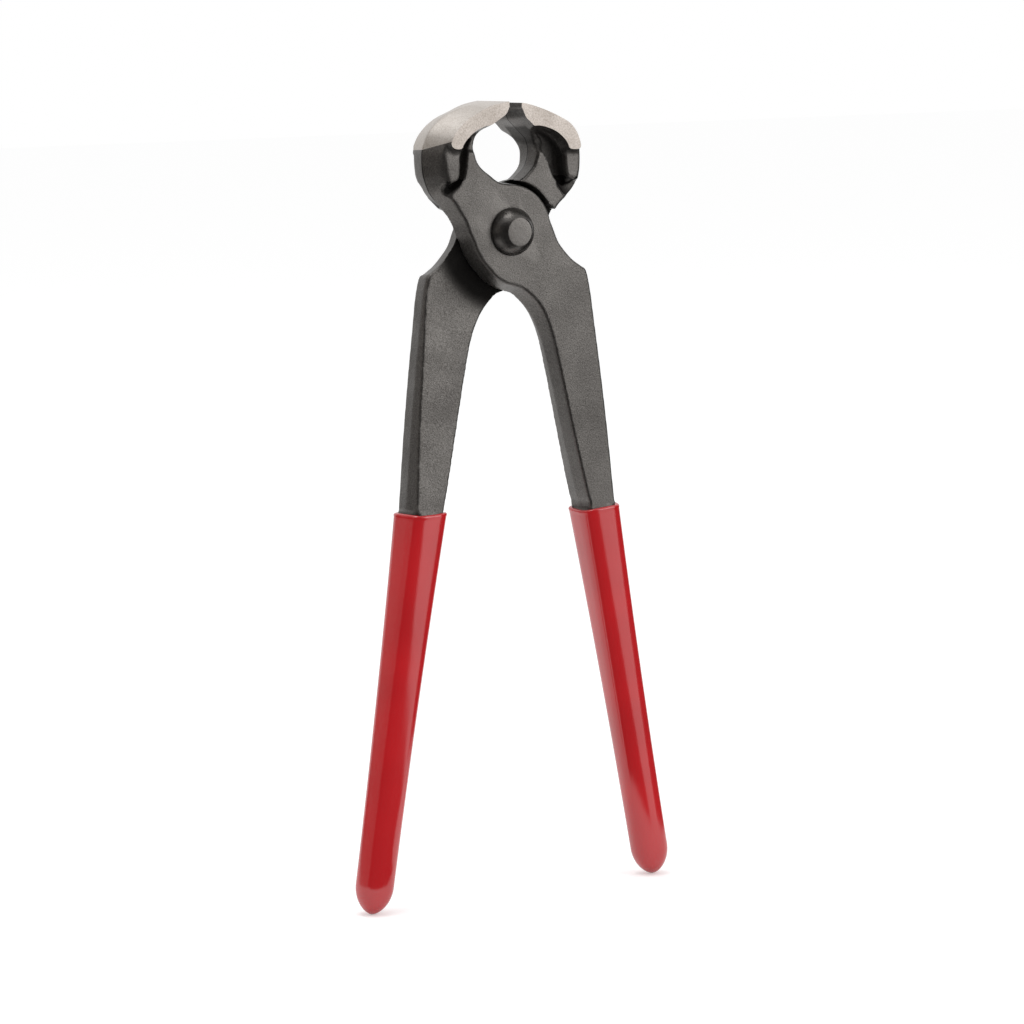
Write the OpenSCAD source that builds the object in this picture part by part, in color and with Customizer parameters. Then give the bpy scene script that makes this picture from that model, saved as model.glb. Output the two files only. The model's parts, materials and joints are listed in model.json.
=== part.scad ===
// Carpenter's pincers: two forged levers that cross at a rivet, with dipped grips.
// The two levers are the same forging, turned half round about the upright axis.
// A lever is drawn closed, with the rivet's axis along Y through the origin, its jaw
// towards -X, its handle towards +X and its half of the joint in front (-Y).

/* [Joint] */
// Thickness of the joint over both levers
joint_t = 10.8; // [9.5:0.1:12.5]
// Radius of a lever's round disc at the parting line
disc_r = 13.4; // [12.6:0.1:13.8]
// Radius of the recess that the other lever's disc turns in
recess_r = 14.4; // [14.1:0.1:15.2]
// Radius of the lap floor on the handle's side
lap_floor_r = 17.3; // [16.8:0.1:18.5]
// Radius of the cove where the lap floor runs out on the handle
lap_cove = 3.2; // [2:0.1:4.5]
// Gap between the two lap faces
lap_gap = 0.1; // [0.06:0.01:0.2]
// Angle of the stop face above the middle line, in degrees
stop_angle = 29; // [24:1:31]

/* [Jaws] */
// Height of the cutting edges above the rivet's axis
jaw_h = 36.1; // [33:0.1:40]
// Reach of the closed front jaw's back from the middle
front_jaw_back = 24.6; // [23.5:0.1:26.5]
// Reach of the closed rear jaw's back from the middle
rear_jaw_back = 23.5; // [22.5:0.1:26.5]
// Length of the cutting edges
edge_w = 17.3; // [15:0.1:20]
// Width over the forged rims under the ground ends
rim_w = 14; // [12.4:0.1:14.8]
// Width of the round hole between the closed jaws
hole_w = 17; // [15:0.1:18]
// Thickness of the web at the bottom of the pockets
pocket_web = 5.2; // [4:0.1:7]
// Lean of the forged sides away from the parting line, in degrees
jaw_draft = 19; // [14:1:21]

/* [Handles] */
// Distance of the handle's shoulder from the middle, closed
shoulder_x = 25.1; // [24:0.1:27]
// Depth of the shoulder below the rivet's axis
shoulder_z = 16; // [15:0.1:18]
// Distance of the crotch's run-out from the middle, closed
crotch_x = 6.4; // [5:0.1:8]
// Depth of the crotch's run-out below the rivet's axis
crotch_z = 22.9; // [22:0.1:26]
// Width of the handle where it enters the grip
leg_w = 9.4; // [8.4:0.1:10.4]
// Break of the handle's long edges
edge_break = 0.6; // [0.3:0.05:0.9]

/* [Grips] */
// Distance of the grip's top from the middle, closed
grip_x = 24.1; // [22:0.1:26]
// Depth of the grip's top below the rivet's axis
grip_z = 79.5; // [70:0.5:95]
// Length of a grip, along its middle
grip_l = 112.5; // [95:0.5:130]
// Lean of a closed grip away from the upright, in degrees
grip_lean = 6.3; // [4:0.1:8]
// Width of the grip below its rim
grip_w = 10.9; // [10.2:0.1:12.5]
// Depth of the grip below its rim, front to back
grip_d = 12.2; // [11.6:0.1:13.5]
// Width of the grip near its end
grip_end_w = 10.6; // [9.4:0.1:12]
// Depth of the grip near its end, front to back
grip_end_d = 9.6; // [9:0.1:11.5]
// Thickness of the dipped plastic
dip_t = 0.9; // [0.7:0.05:1.3]
// Clearance between the plastic and the steel that it coats
coat_gap = 0.05; // [0.02:0.01:0.1]
// Height of the soft bead round the grip's rim
bead_h = 1.1; // [0.8:0.1:1.6]
// How far the bead stands proud
bead_t = 0.18; // [0.1:0.02:0.3]

/* [Rivet] */
// Diameter of the rivet's shank
shank_d = 8.6; // [7:0.1:10]
// Diameter of the rivet's front head
head_d = 13.5; // [11.5:0.1:15]
// Height of the front head
head_h = 4.3; // [3:0.1:5]
// Diameter of the flat on top of the front head
head_flat_d = 7.4; // [5:0.1:9]
// Diameter of the peened head at the back
peen_d = 12.4; // [10:0.1:14]
// Height of the peened head
peen_h = 2.2; // [1.5:0.1:3]
// Clearance round the shank in the lever that turns
pin_gap = 0.05; // [0.02:0.01:0.09]
// Clearance between the front head and the lever that turns under it
head_gap = 0.05; // [0.02:0.01:0.1]

/* [Pose] */
// Opening of the jaws as the tool stands, in degrees
rest_open = 6.5; // [2:0.1:20]

/* [Hidden] */

half_t = joint_t / 2;
half_edge = edge_w / 2;
half_rim = rim_w / 2;
half_lap = lap_gap / 2;
floor_y = pocket_web / 2;
// How far cuts run past what they cut
overrun = 3;
far = overrun * 4;
// Steps of a smooth curve between two of its points
curve_steps = 3;
cut_steps = 2;

steel = [0.27, 0.26, 0.25];
plastic = [0.78, 0.09, 0.12];

// The outline's points are [x share, z share, draft share, edge break share].
// The back of the jaw, from the cutting edge down: shares of the jaw's reach and height.
jaw_back_shares = [
    [0, 1, 0, 0], [0.133, 0.992, 0.1, 0], [0.335, 0.969, 0.2, 0], [0.516, 0.937, 0.32, 0],
    [0.706, 0.879, 0.45, 0], [0.861, 0.796, 0.62, 0], [0.956, 0.695, 0.8, 0], [0.996, 0.576, 0.9, 0],
    [0.980, 0.457, 0.95, 0], [0.917, 0.349, 1, 0.3], [0.808, 0.258, 1, 0.8], [0.692, 0.177, 1, 1]];
// The waist of the lever, down to the crotch: shares of the disc's radius.
waist_shares = [
    [-1.09, 0.18, 1, 1], [-0.985, -0.187, 1, 1], [-0.83, -0.55, 1, 1], [-0.6, -0.836, 1, 1],
    [-0.31, -1.067, 1, 1], [-0.04, -1.246, 1, 1], [0.22, -1.43, 1, 1]];
// The handle's inner side, from the crotch's run-out to the grip.
leg_inner_shares = [
    [0, 0, 1, 1], [0.26, 0.125, 0.6, 1], [0.446, 0.307, 0.36, 1], [0.677, 0.617, 0.3, 1],
    [0.923, 0.93, 0.3, 1], [1, 1, 0.3, 1]];
// The handle's outer side, from the grip up to the shoulder.
leg_outer_shares = [
    [1, 1, 0.3, 1], [0.78, 0.68, 0.3, 1], [0.51, 0.41, 0.3, 1], [0.216, 0.178, 0.3, 1],
    [0.05, 0.05, 0.3, 1]];
// The shoulder and the hollow above it, up to the disc: shares of the shoulder's place.
shoulder_shares = [
    [0.968, 0.825, 0.4, 1], [0.9, 0.73, 0.5, 1], [0.793, 0.6, 0.5, 1], [0.697, 0.431, 0.5, 1],
    [0.6175, 0.256, 0.5, 1], [0.554, 0.0375, 0.5, 1]];
// The inner side of the jaw, from the disc up to the edge: shares of half the hole and jaw_h.
hole_shares = [
    [0.282, 0.399, 0.3, 1], [0.588, 0.440, 0.2, 0.8], [0.859, 0.504, 0.2, 0.6],
    [0.976, 0.573, 0.25, 0.5], [1, 0.6565, 0.4, 0.4], [0.906, 0.715, 0.55, 0.2],
    [0.718, 0.759, 0.62, 0], [0.388, 0.817, 0.6, 0], [0.082, 0.878, 0.45, 0],
    [0.018, 0.928, 0.22, 0], [0, 0.97, 0.02, 0]];
// Angles where the disc's arc starts and ends, in degrees from +X.
arc_from = 8;
arc_to = 78;
arc_step = 10;

// The ground ends and forged rims stand outside this line: shares of reach and height.
face_shares = [
    [0.35, 0.875], [0.04, 0.855], [-0.15, 0.847], [-0.29, 0.826], [-0.39, 0.79], [-0.5, 0.735],
    [-0.575, 0.66], [-0.595, 0.56], [-0.6, 0.46], [-0.66, 0.385], [-0.78, 0.358], [-1.25, 0.352]];
// The pocket between the rim and the web.
pocket_shares = [
    [-0.375, 0.804], [-0.415, 0.804], [-0.496, 0.773], [-0.575, 0.735], [-0.629, 0.69],
    [-0.658, 0.623], [-0.6625, 0.488], [-0.7, 0.437], [-0.8125, 0.413], [-1.17, 0.41],
    [-1.17, 0.27], [-0.93, 0.283], [-0.767, 0.296], [-0.579, 0.355], [-0.517, 0.416],
    [-0.517, 0.507], [-0.5, 0.58], [-0.452, 0.66], [-0.39, 0.729], [-0.355, 0.777]];
// The step below the ground end, down to the forged rim.
step_shares = [
    [-1.25, 0.33], [-0.5, 0.33], [-0.5, 0.66], [-0.56, 0.7], [-0.635, 0.692], [-0.69, 0.676],
    [-0.79, 0.674], [-1.25, 0.672]];
// The walls of these cuts: height above the floor and draw-in, as shares of the depth.
face_wall_shares = [[2, -0.5], [0.5, 0], [0, 0.25]];
pocket_wall_shares = [[3.2, -0.2], [1, 0], [0.25, 0.13], [0.08, 0.22], [0, 0.36]];
step_wall_shares = [[2.5, -0.4], [1, 0], [0.25, 0.2], [0, 0.6]];
// The handle's inside face: depth as a share of grip_z, height as a share of half the joint.
inside_shares = [[0.03, 0.2], [0.15, 0.25], [0.28, 0.31], [0.48, 0.54], [0.7, 0.69], [0.89, 0.88],
    [1.05, 1]];
// Where an edge break's second ring stands below the face.
break_share = 0.3;

leg_in = [grip_x - leg_w / 2, -grip_z];
leg_out = [grip_x + leg_w / 2, -grip_z];
crotch = [crotch_x, -crotch_z];
shoulder = [shoulder_x, -shoulder_z];

// A smooth curve through points of any dimension, without its last point.
function bend(a, b, c, d, t) =
    (2 * b + (c - a) * t + (2 * a - 5 * b + 4 * c - d) * t * t
    + (3 * b - a - 3 * c + d) * t * t * t) / 2;
function curve(p, n) = [
    for (i = [0:len(p) - 2])
        let (a = p[max(i - 1, 0)], d = p[min(i + 2, len(p) - 1)])
            for (k = [0:n - 1]) bend(a, p[i], p[i + 1], d, k / n)];
// Points given as shares between two corners, with their other values kept.
function between(a, b, shares) = [
    for (s = shares) [a[0] + (b[0] - a[0]) * s[0], a[1] + (b[1] - a[1]) * s[1], s[2], s[3]]];
// Outline points from shares of a width and a height.
function scaled(w, h, shares) = [for (s = shares) [s[0] * w, s[1] * h, s[2], s[3]]];
// The same for a cutter's outline, whose points have no other values.
function traced(w, h, shares) = [for (s = shares) [s[0] * w, s[1] * h]];
// A cutter's levels, from its top to its floor.
function levels(floor_h, depth, shares) =
    [for (s = shares) [floor_h + depth * s[0], depth * s[1]]];
function backwards(list) = [for (i = [len(list) - 1:-1:0]) list[i]];

// The whole forging's outline at the parting line, counter-clockwise seen from the front.
disc_arc = [
    for (a = [arc_from:arc_step:arc_to]) [disc_r * cos(a), disc_r * sin(a), 0.5, 1]];
leg_drop = [sin(grip_lean), -cos(grip_lean)] * overrun;
foot = [
    [leg_in[0] + leg_drop[0], leg_in[1] + leg_drop[1], 0.3, 1],
    [leg_out[0] + leg_drop[0], leg_out[1] + leg_drop[1], 0.3, 1]];
front_run = concat(
    between(shoulder, leg_out, leg_outer_shares),
    scaled(shoulder_x, -shoulder_z, shoulder_shares),
    disc_arc,
    scaled(-hole_w / 2, jaw_h, hole_shares));
function back_run(reach) = concat(
    scaled(-reach, jaw_h, jaw_back_shares),
    scaled(disc_r, disc_r, waist_shares),
    between(crotch, leg_in, leg_inner_shares));
function forging_outline(reach) = concat(
    curve(back_run(reach), curve_steps), foot, curve(front_run, curve_steps),
    [front_run[len(front_run) - 1]]);

// The outward direction at a point of a closed counter-clockwise outline.
function outward(o, i) =
    let (a = o[(i + len(o) - 1) % len(o)], b = o[(i + 1) % len(o)],
        d = [b[0] - a[0], b[1] - a[1]])
    [d[1], -d[0]] / norm(d);
// An outline as a ring at a depth, with each point drawn in by its own amount.
function ring(o, y, inward) = [
    for (i = [0:len(o) - 1])
        let (d = outward(o, i) * inward[i]) [o[i][0] - d[0], y, o[i][1] - d[1]]];
// How far a forged side has drawn in at a height above the parting line.
function drawn_in(p, y) =
    let (rise = (y - half_t) / edge_break + 1, bite = min(max(rise, 0), 1))
    tan(jaw_draft) * y * p[2] + edge_break * p[3] * (1 - sqrt(1 - bite * bite));

// A closed solid from rings of the same number of points, one above the other.
module stack(rings) {
    n = len(rings[0]);
    m = len(rings);
    sides = [for (j = [0:m - 2], i = [0:n - 1])
        let (k = (i + 1) % n, low = j * n, high = low + n)
        each [[low + i, high + k, low + k], [low + i, high + i, high + k]]];
    first = [for (i = [0:n - 1]) i];
    last = [for (i = [n - 1:-1:0]) (m - 1) * n + i];
    polyhedron(points = [for (r = rings) each r], faces = concat(sides, [first, last]));
}

// The forging's rings run from the back to the front.
module blank(reach) {
    outline = forging_outline(reach);
    heights = [half_edge, half_t, half_t - edge_break * break_share, half_t - edge_break];
    stack([for (y = concat(heights, [0], -backwards(heights)))
        ring(outline, y, [for (p = outline) drawn_in(p, abs(y))])]);
}

// A cutter with leaning walls on one side of the parting line.
module sinker(outline, levels, side) {
    stack([for (l = side > 0 ? levels : backwards(levels))
        ring(outline, side * l[0], [for (p = outline) l[1]])]);
}

// Clears all that stands above the joint's faces inside the ground ends and rims.
module face_cut(side, reach) {
    edge = traced(reach, jaw_h, face_shares);
    left = -reach - far;
    right = shoulder_x + leg_w + far;
    low = -grip_z - far;
    outline = concat(curve(edge, cut_steps),
        [[left, edge[len(edge) - 1][1]], [left, low], [right, low], [right, edge[0][1]]]);
    sinker(outline, levels(half_t, half_edge - half_t, face_wall_shares), side);
}

module pocket_cut(side, reach) {
    shares = concat(pocket_shares, [pocket_shares[0]]);
    sinker(curve(traced(reach, jaw_h, shares), cut_steps),
        levels(floor_y, half_t - floor_y, pocket_wall_shares), side);
}

module step_cut(side, reach) {
    sinker(traced(reach, jaw_h, step_shares),
        levels(half_rim, half_edge - half_rim, step_wall_shares), side);
}

// Takes away the half of the joint that the other lever fills.
module lap_cut() {
    top = half_edge + overrun;
    rotate([90, 0, 0]) translate([0, 0, -top])
        cylinder(r = recess_r, h = top + half_lap, $fn = 96);
    cove = [for (a = [0:15:90]) [lap_floor_r + lap_cove * sin(a), lap_cove * (1 - cos(a))]];
    rotate([90, 0, 0]) mirror([0, 0, 1]) rotate([0, 0, 180 - stop_angle])
        translate([0, 0, -half_lap]) rotate_extrude(angle = 180 + stop_angle + arc_from, $fn = 96)
            polygon(concat([[0, 0]], cove, [[lap_floor_r + lap_cove, top], [0, top]]));
}

// Thins the upper handle on its inside face, which rises to full thickness at the grip.
module inside_cut() {
    ramp = [for (s = inside_shares) [s[1] * half_t, -s[0] * grip_z]];
    top = half_edge + overrun;
    translate([-disc_r, 0, 0]) rotate([90, 0, 90])
        linear_extrude(disc_r + shoulder_x + leg_w + grip_w)
            polygon(concat(ramp, [[top, ramp[len(ramp) - 1][1]], [top, ramp[0][1]]]));
}

// Places something drawn down a grip's middle line, from its top at the origin.
module along_grip() {
    translate([grip_x, 0, -grip_z]) rotate([0, -grip_lean, 0]) children();
}

// The grip's sections: corner radius as a share of the width, at the rim and at the end.
corner_share = 0.26;
end_corner_share = 0.38;
// How much of an inset the corner radius loses
corner_inset_share = 0.5;
// The width falls fast below the rim and slowly near the end.
taper_power = 1.6;
station_shares = [0.03, 0.1, 0.22, 0.38, 0.56, 0.75, 0.9];
// The bead's ring heights as shares of bead_h
bead_shares = [0.6, 0.25];
ball_r = grip_end_w / 2;
ball_z = ball_r - grip_l;

// A rounded rectangle in the XY plane, with the width, depth and corner given.
function pad(w, d, r, z) = [
    for (q = [0:3], k = [0:3])
        let (a = q * 90 + k * 30, sx = (q == 0 || q == 3) ? 1 : -1, sy = q < 2 ? 1 : -1)
        [sx * (w / 2 - r) + r * cos(a), sy * (d / 2 - r) + r * sin(a), z]];
// The grip's section at a share of its taper, drawn in by an inset.
function grip_ring(share, inset, z) =
    let (w = grip_w + (grip_end_w - grip_w) * share, d = grip_d + (grip_end_d - grip_d) * share,
        r = w * (corner_share + (end_corner_share - corner_share) * share))
    pad(w - 2 * inset, d - 2 * inset, r - inset * corner_inset_share, z);
function taper(share) = 1 - pow(1 - share, taper_power);
// A round end: the section shrinks like a ball's over the last stretch.
function ball_ring(a, inset) =
    let (k = cos(a), w = (grip_end_w - 2 * inset) * k, d = (grip_end_d - 2 * inset) * k)
    pad(w, d, w * end_corner_share, ball_z - (ball_r - inset) * sin(a));
// The rings of a grip's core from its end up to its rim.
function core_rings(inset, angles) = concat(
    [for (a = angles) ball_ring(a, inset)],
    [grip_ring(1, inset, ball_z)],
    [for (s = backwards(station_shares)) grip_ring(taper(s), inset, ball_z * s)]);
inner_angles = [75, 50, 25];
outer_angles = [80, 65, 45, 22];

module tang() {
    inset = dip_t + coat_gap;
    along_grip() stack(concat(core_rings(inset, inner_angles),
        [grip_ring(0, inset, 0), grip_ring(0, inset, overrun)]));
}

// The lever as it comes from the forge, with its jaw's ends ground to the edges' length.
module forging(reach) {
    resize([0, edge_w, 0]) union() {
        difference() {
            blank(reach);
            for (side = [-1, 1]) {
                face_cut(side, reach);
                pocket_cut(side, reach);
                step_cut(side, reach);
            }
            inside_cut();
            // The forging ends at the grip's rim
            along_grip() translate([-grip_w, -grip_d, -far])
                cube([grip_w * 2, grip_d * 2, far]);
        }
        tang();
    }
}

module lever(reach) {
    difference() {
        forging(reach);
        lap_cut();
    }
}

// Turns a closed lever to its place as the tool stands.
half_open = rest_open / 2;
pivot_z = ball_r - (grip_x - sin(grip_lean) * ball_z) * sin(half_open)
    + (grip_z - cos(grip_lean) * ball_z) * cos(half_open);
module posed() {
    translate([0, 0, pivot_z]) rotate([0, -half_open, 0]) children();
}

module bored(r) {
    difference() {
        children();
        rotate([90, 0, 0]) cylinder(r = r, h = edge_w + overrun, center = true, $fn = 64);
    }
}

module front_lever() {
    color(steel) posed() bored(shank_d / 2 + pin_gap) lever(front_jaw_back);
}

module rear_lever() {
    color(steel) rotate([0, 0, 180]) posed() bored(shank_d / 2) lever(rear_jaw_back);
}

// The front head is round-shouldered with a flat top: its profile runs from back to front.
head_side_share = 0.28;
module rivet() {
    side_h = head_h * head_side_share;
    seat = half_t + head_gap;
    dome = [for (a = [0:15:90])
        [head_flat_d / 2 + (head_d - head_flat_d) / 2 * cos(a),
        half_t + side_h + (head_h - side_h) * sin(a)]];
    peen = [for (a = [90:-15:0]) [peen_d / 2 * cos(a), -half_t - peen_h * sin(a)]];
    color(steel) translate([0, 0, pivot_z]) rotate([90, 0, 0])
        rotate_extrude($fn = 64)
            polygon(concat(peen, [[shank_d / 2, -half_t], [shank_d / 2, seat]],
                [[head_d / 2, seat]], dome, [[0, half_t + head_h]]));
}

// The dipped coat: a closed sleeve over the tang with a soft bead at its rim.
module sleeve() {
    along_grip() difference() {
        stack(concat(core_rings(0, outer_angles), [grip_ring(0, 0, -bead_h)],
            [for (s = bead_shares) grip_ring(0, -bead_t, -bead_h * s)], [grip_ring(0, 0, 0)]));
        stack(concat(core_rings(dip_t, inner_angles), [grip_ring(0, dip_t, overrun)]));
    }
}

module front_grip() {
    color(plastic) posed() sleeve();
}

module rear_grip() {
    color(plastic) rotate([0, 0, 180]) posed() sleeve();
}

front_lever();
rear_lever();
rivet();
front_grip();
rear_grip();
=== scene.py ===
"""Carpenter's pincers with dipped grips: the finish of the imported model's pieces.

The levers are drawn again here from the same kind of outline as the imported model's, with a table
for each jaw, the rounded edges of a forging and the crisp edges of its ground ends. Lengths are
in metres in Blender and in millimetres inside the drawing functions.
"""

import json
import math
from functools import partial
from typing import NamedTuple

import bmesh
import bpy
import numpy as np
from mathutils import Matrix, Vector
from mathutils.bvhtree import BVHTree

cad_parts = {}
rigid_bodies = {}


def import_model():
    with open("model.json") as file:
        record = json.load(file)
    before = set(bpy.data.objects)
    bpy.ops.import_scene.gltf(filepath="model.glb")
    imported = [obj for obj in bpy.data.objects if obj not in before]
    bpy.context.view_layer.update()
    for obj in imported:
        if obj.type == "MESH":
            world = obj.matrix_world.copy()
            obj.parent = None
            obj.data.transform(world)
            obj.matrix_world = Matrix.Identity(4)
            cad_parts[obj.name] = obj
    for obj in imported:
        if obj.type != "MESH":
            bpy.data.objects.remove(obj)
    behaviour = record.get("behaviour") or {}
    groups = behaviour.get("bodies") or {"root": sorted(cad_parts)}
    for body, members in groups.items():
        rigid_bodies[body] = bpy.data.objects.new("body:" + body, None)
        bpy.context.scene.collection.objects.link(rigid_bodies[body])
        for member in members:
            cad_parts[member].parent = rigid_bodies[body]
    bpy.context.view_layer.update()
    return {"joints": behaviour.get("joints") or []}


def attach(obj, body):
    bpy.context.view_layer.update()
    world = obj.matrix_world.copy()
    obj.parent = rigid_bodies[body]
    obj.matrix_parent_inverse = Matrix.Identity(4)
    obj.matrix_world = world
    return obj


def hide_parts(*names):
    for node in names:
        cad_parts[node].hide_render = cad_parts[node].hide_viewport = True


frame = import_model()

bl_info = {
    "name": "Carpenter's pincers",
    "version": (1, 0, 0),
    "blender": (4, 5, 0),
    "location": "View3D > Sidebar > Pincers",
    "description": "Forged levers, rivet, dipped grips and a studio for carpenter's pincers",
    "category": "Object",
}

MM = 0.001
JOINT = frame["joints"][0]
PIVOT = Vector(JOINT["pos_m"])
FRONT_BODY = JOINT["child"]
REAR_BODY = JOINT["parent"]


# Sizes and colours


def length(name, description, millimetres, low, high):
    """A length property in metres with its default and limits given in millimetres."""
    return bpy.props.FloatProperty(
        name=name,
        description=description,
        default=millimetres * MM,
        min=low * MM,
        max=high * MM,
        precision=5,
        unit="LENGTH",
        subtype="DISTANCE",
    )


def angle(name, description, degrees):
    """An angle property in radians with its default given in degrees."""
    return bpy.props.FloatProperty(
        name=name,
        description=description,
        default=math.radians(degrees),
        unit="ROTATION",
        subtype="ANGLE",
    )


def number(name, description, value, low, high, subtype="NONE"):
    """A plain number property, or a share where the subtype is FACTOR."""
    return bpy.props.FloatProperty(
        name=name, description=description, default=value, min=low, max=high, subtype=subtype
    )


def colour(name, description, value):
    """A linear colour property."""
    return bpy.props.FloatVectorProperty(
        name=name, description=description, default=value, size=3, min=0, max=1, subtype="COLOR"
    )


class PincersForging(bpy.types.PropertyGroup):
    """Sizes of the two forged levers."""

    joint_thickness: length("Joint thickness", "Thickness over both levers at the rivet", 10.8, 9, 13)
    disc_radius: length("Disc radius", "Radius of a lever's round disc", 13.4, 12, 14)
    recess_radius: length("Recess radius", "Radius of the recess for the other disc", 14.4, 14, 16)
    lap_floor_radius: length("Lap floor radius", "Radius of the lap floor on the handle", 17.3, 16, 19)
    run_out_length: length("Run-out length", "Length over which the lap floor rises", 7.5, 3, 9)
    run_out_depth: length("Run-out depth", "Height that the lap floor rises by", 1.9, 1, 3)
    lap_gap: length("Lap gap", "Gap between the two lap faces", 0.1, 0.05, 0.3)
    front_jaw_height: length("Front jaw's height", "Height of the front cutting edge", 36.35, 33, 40)
    rear_jaw_height: length("Rear jaw's height", "Height of the rear cutting edge", 35.85, 33, 40)
    front_jaw_back: length("Front jaw's back", "Reach of the front jaw's back, closed", 24.45, 22, 27)
    rear_jaw_back: length("Rear jaw's back", "Reach of the rear jaw's back, closed", 23.5, 22, 27)
    edge_length: length("Edge length", "Length of the cutting edges", 17.3, 15, 20)
    rim_width: length("Rim width", "Width over the forged rims", 14.0, 12, 15)
    front_hole: length("Front jaw's hollow", "Depth of the front jaw's half of the hole", 9.4, 7, 10)
    rear_hole: length("Rear jaw's hollow", "Depth of the rear jaw's half of the hole", 7.65, 7, 10)
    pocket_web: length("Pocket web", "Thickness of the web at the pockets' bottom", 5.2, 4, 7)
    leg_width: length("Handle width", "Width of the handle at the grip", 9.4, 8, 11)
    edge_break: length("Edge break", "Break of the long edges before they are softened", 0.45, 0.2, 1)
    rim_round: length("Rim round", "Rounding of the forged rims' outer edges", 1.0, 0.3, 1.5)
    skin: length("Skin size", "Size of the forged skin's faces", 0.36, 0.25, 0.8)
    soften: bpy.props.IntProperty(
        name="Softening", description="Passes that round the forged edges", default=7, min=0, max=40
    )


class PincersFittings(bpy.types.PropertyGroup):
    """Sizes of the rivet and the grips."""

    head_diameter: length("Head diameter", "Diameter of the rivet's front head", 13.5, 11, 15)
    head_height: length("Head height", "Height of the front head", 4.3, 3, 5)
    flat_diameter: length("Flat diameter", "Diameter of the flat on the front head", 8.0, 5, 9)
    shank_diameter: length("Shank diameter", "Diameter of the rivet's shank", 8.6, 7, 10)
    peen_diameter: length("Peen diameter", "Diameter of the peened head at the back", 12.4, 10, 14)
    peen_height: length("Peen height", "Height of the peened head", 2.2, 1.5, 3)
    grip_length: length("Grip length", "Length of a grip along its middle", 112.5, 95, 130)
    rim_width: length("Rim width", "Width of the grip at its rim", 12.4, 10, 14)
    rim_depth: length("Rim depth", "Depth of the grip at its rim", 12.9, 11, 14)
    grip_end_width: length("Grip end width", "Width of the grip near its end", 10.6, 9, 12)
    grip_end_depth: length("Grip end depth", "Depth of the grip near its end", 9.8, 9, 12)
    nose_length: length("Nose length", "Length of the grip's round nose", 8.2, 4, 10)
    flare: number("Flare", "How late the grip widens towards its rim", 2.2, 1, 6)
    squareness: number("Squareness", "Section at the rim, from round (2) to square", 3.8, 2, 6)
    end_squareness: number("End squareness", "Section near the grip's end", 2.3, 2, 6)
    dip_thickness: length("Dip thickness", "Thickness of the dipped plastic", 0.9, 0.6, 1.5)
    bead_height: length("Bead height", "Height of the bead round the grip's rim", 1.1, 0.6, 2)
    bead_swell: length("Bead swell", "How far the bead stands proud", 0.08, 0.05, 0.3)
    waviness: length("Waviness", "Height of the dipped rim's waves", 0.12, 0, 0.5)
    front_rim_rise: length("Front rim's rise", "Height of the front rim above the usual", -1.7, -4, 4)
    rear_rim_rise: length("Rear rim's rise", "Height of the rear rim above the usual", 0.8, -4, 4)
    front_twist: angle("Front grip's twist", "Turn of the front handle's end about its own line", -3)
    rear_twist: angle("Rear grip's twist", "Turn of the rear handle's end about its own line", 3.5)
    front_slant: number("Front rim's slant", "Slope of the front grip's rim", 0.05, 0, 0.3)
    rear_slant: number("Rear rim's slant", "Slope of the rear grip's rim", 0.165, 0, 0.3)


class PincersFinishes(bpy.types.PropertyGroup):
    """Colours and gloss of the pieces."""

    forged: colour("Forged steel", "Colour of the blackened forged skin", (0.16, 0.151, 0.142))
    # Besides the specks, a darkened copy of this colour paints the seam and the shade in the forging's
    # hollows.
    forged_dark: colour("Forged hollows", "Colour of the skin's darker specks", (0.075, 0.069, 0.064))
    ground: colour("Ground steel", "Colour of the ground jaws", (0.57, 0.52, 0.48))
    ground_warm: colour("Warm ground steel", "Colour of the warmer clouds in it", (0.26, 0.225, 0.195))
    crown: colour("Ground crown", "Colour of the jaws' ground outer faces", (0.635, 0.6, 0.565))
    crown_warm: colour("Warm ground crown", "Colour of the warmer clouds in them", (0.40, 0.355, 0.315))
    rivet: colour("Rivet", "Colour of the rivet's steel", (0.094, 0.089, 0.084))
    dip: colour("Dipped plastic", "Colour of the grips", (0.49, 0.007, 0.011))
    forged_roughness: number("Forged roughness", "Roughness of the skin", 0.42, 0, 1, "FACTOR")
    dip_roughness: number("Grip roughness", "Roughness of the dipped plastic", 0.16, 0, 1, "FACTOR")


class PincersStage(bpy.types.PropertyGroup):
    """Camera and light of the studio."""

    camera_azimuth: angle("Camera azimuth", "Angle of the camera round from the front", 31.453)
    camera_height: angle("Camera elevation", "Angle of the camera above the level", 6.92)
    camera_roll: angle("Camera roll", "Turn of the camera about its line of sight", -1.127)
    camera_distance: length("Camera distance", "Distance from the aim point", 1201.444, 300, 4000)
    aim_height: length("Aim height", "Height of the aim point", 109.66, 0, 250)
    aim_shift: length("Aim shift", "Shift of the aim point to the right", 1.261, -50, 50)
    lens: number("Lens", "Focal length in millimetres", 149.579, 20, 400)
    lamp_strength: number("Lamp strength", "Strength of all lamps", 1.0, 0, 10)


# Drawing of the forging

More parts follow.
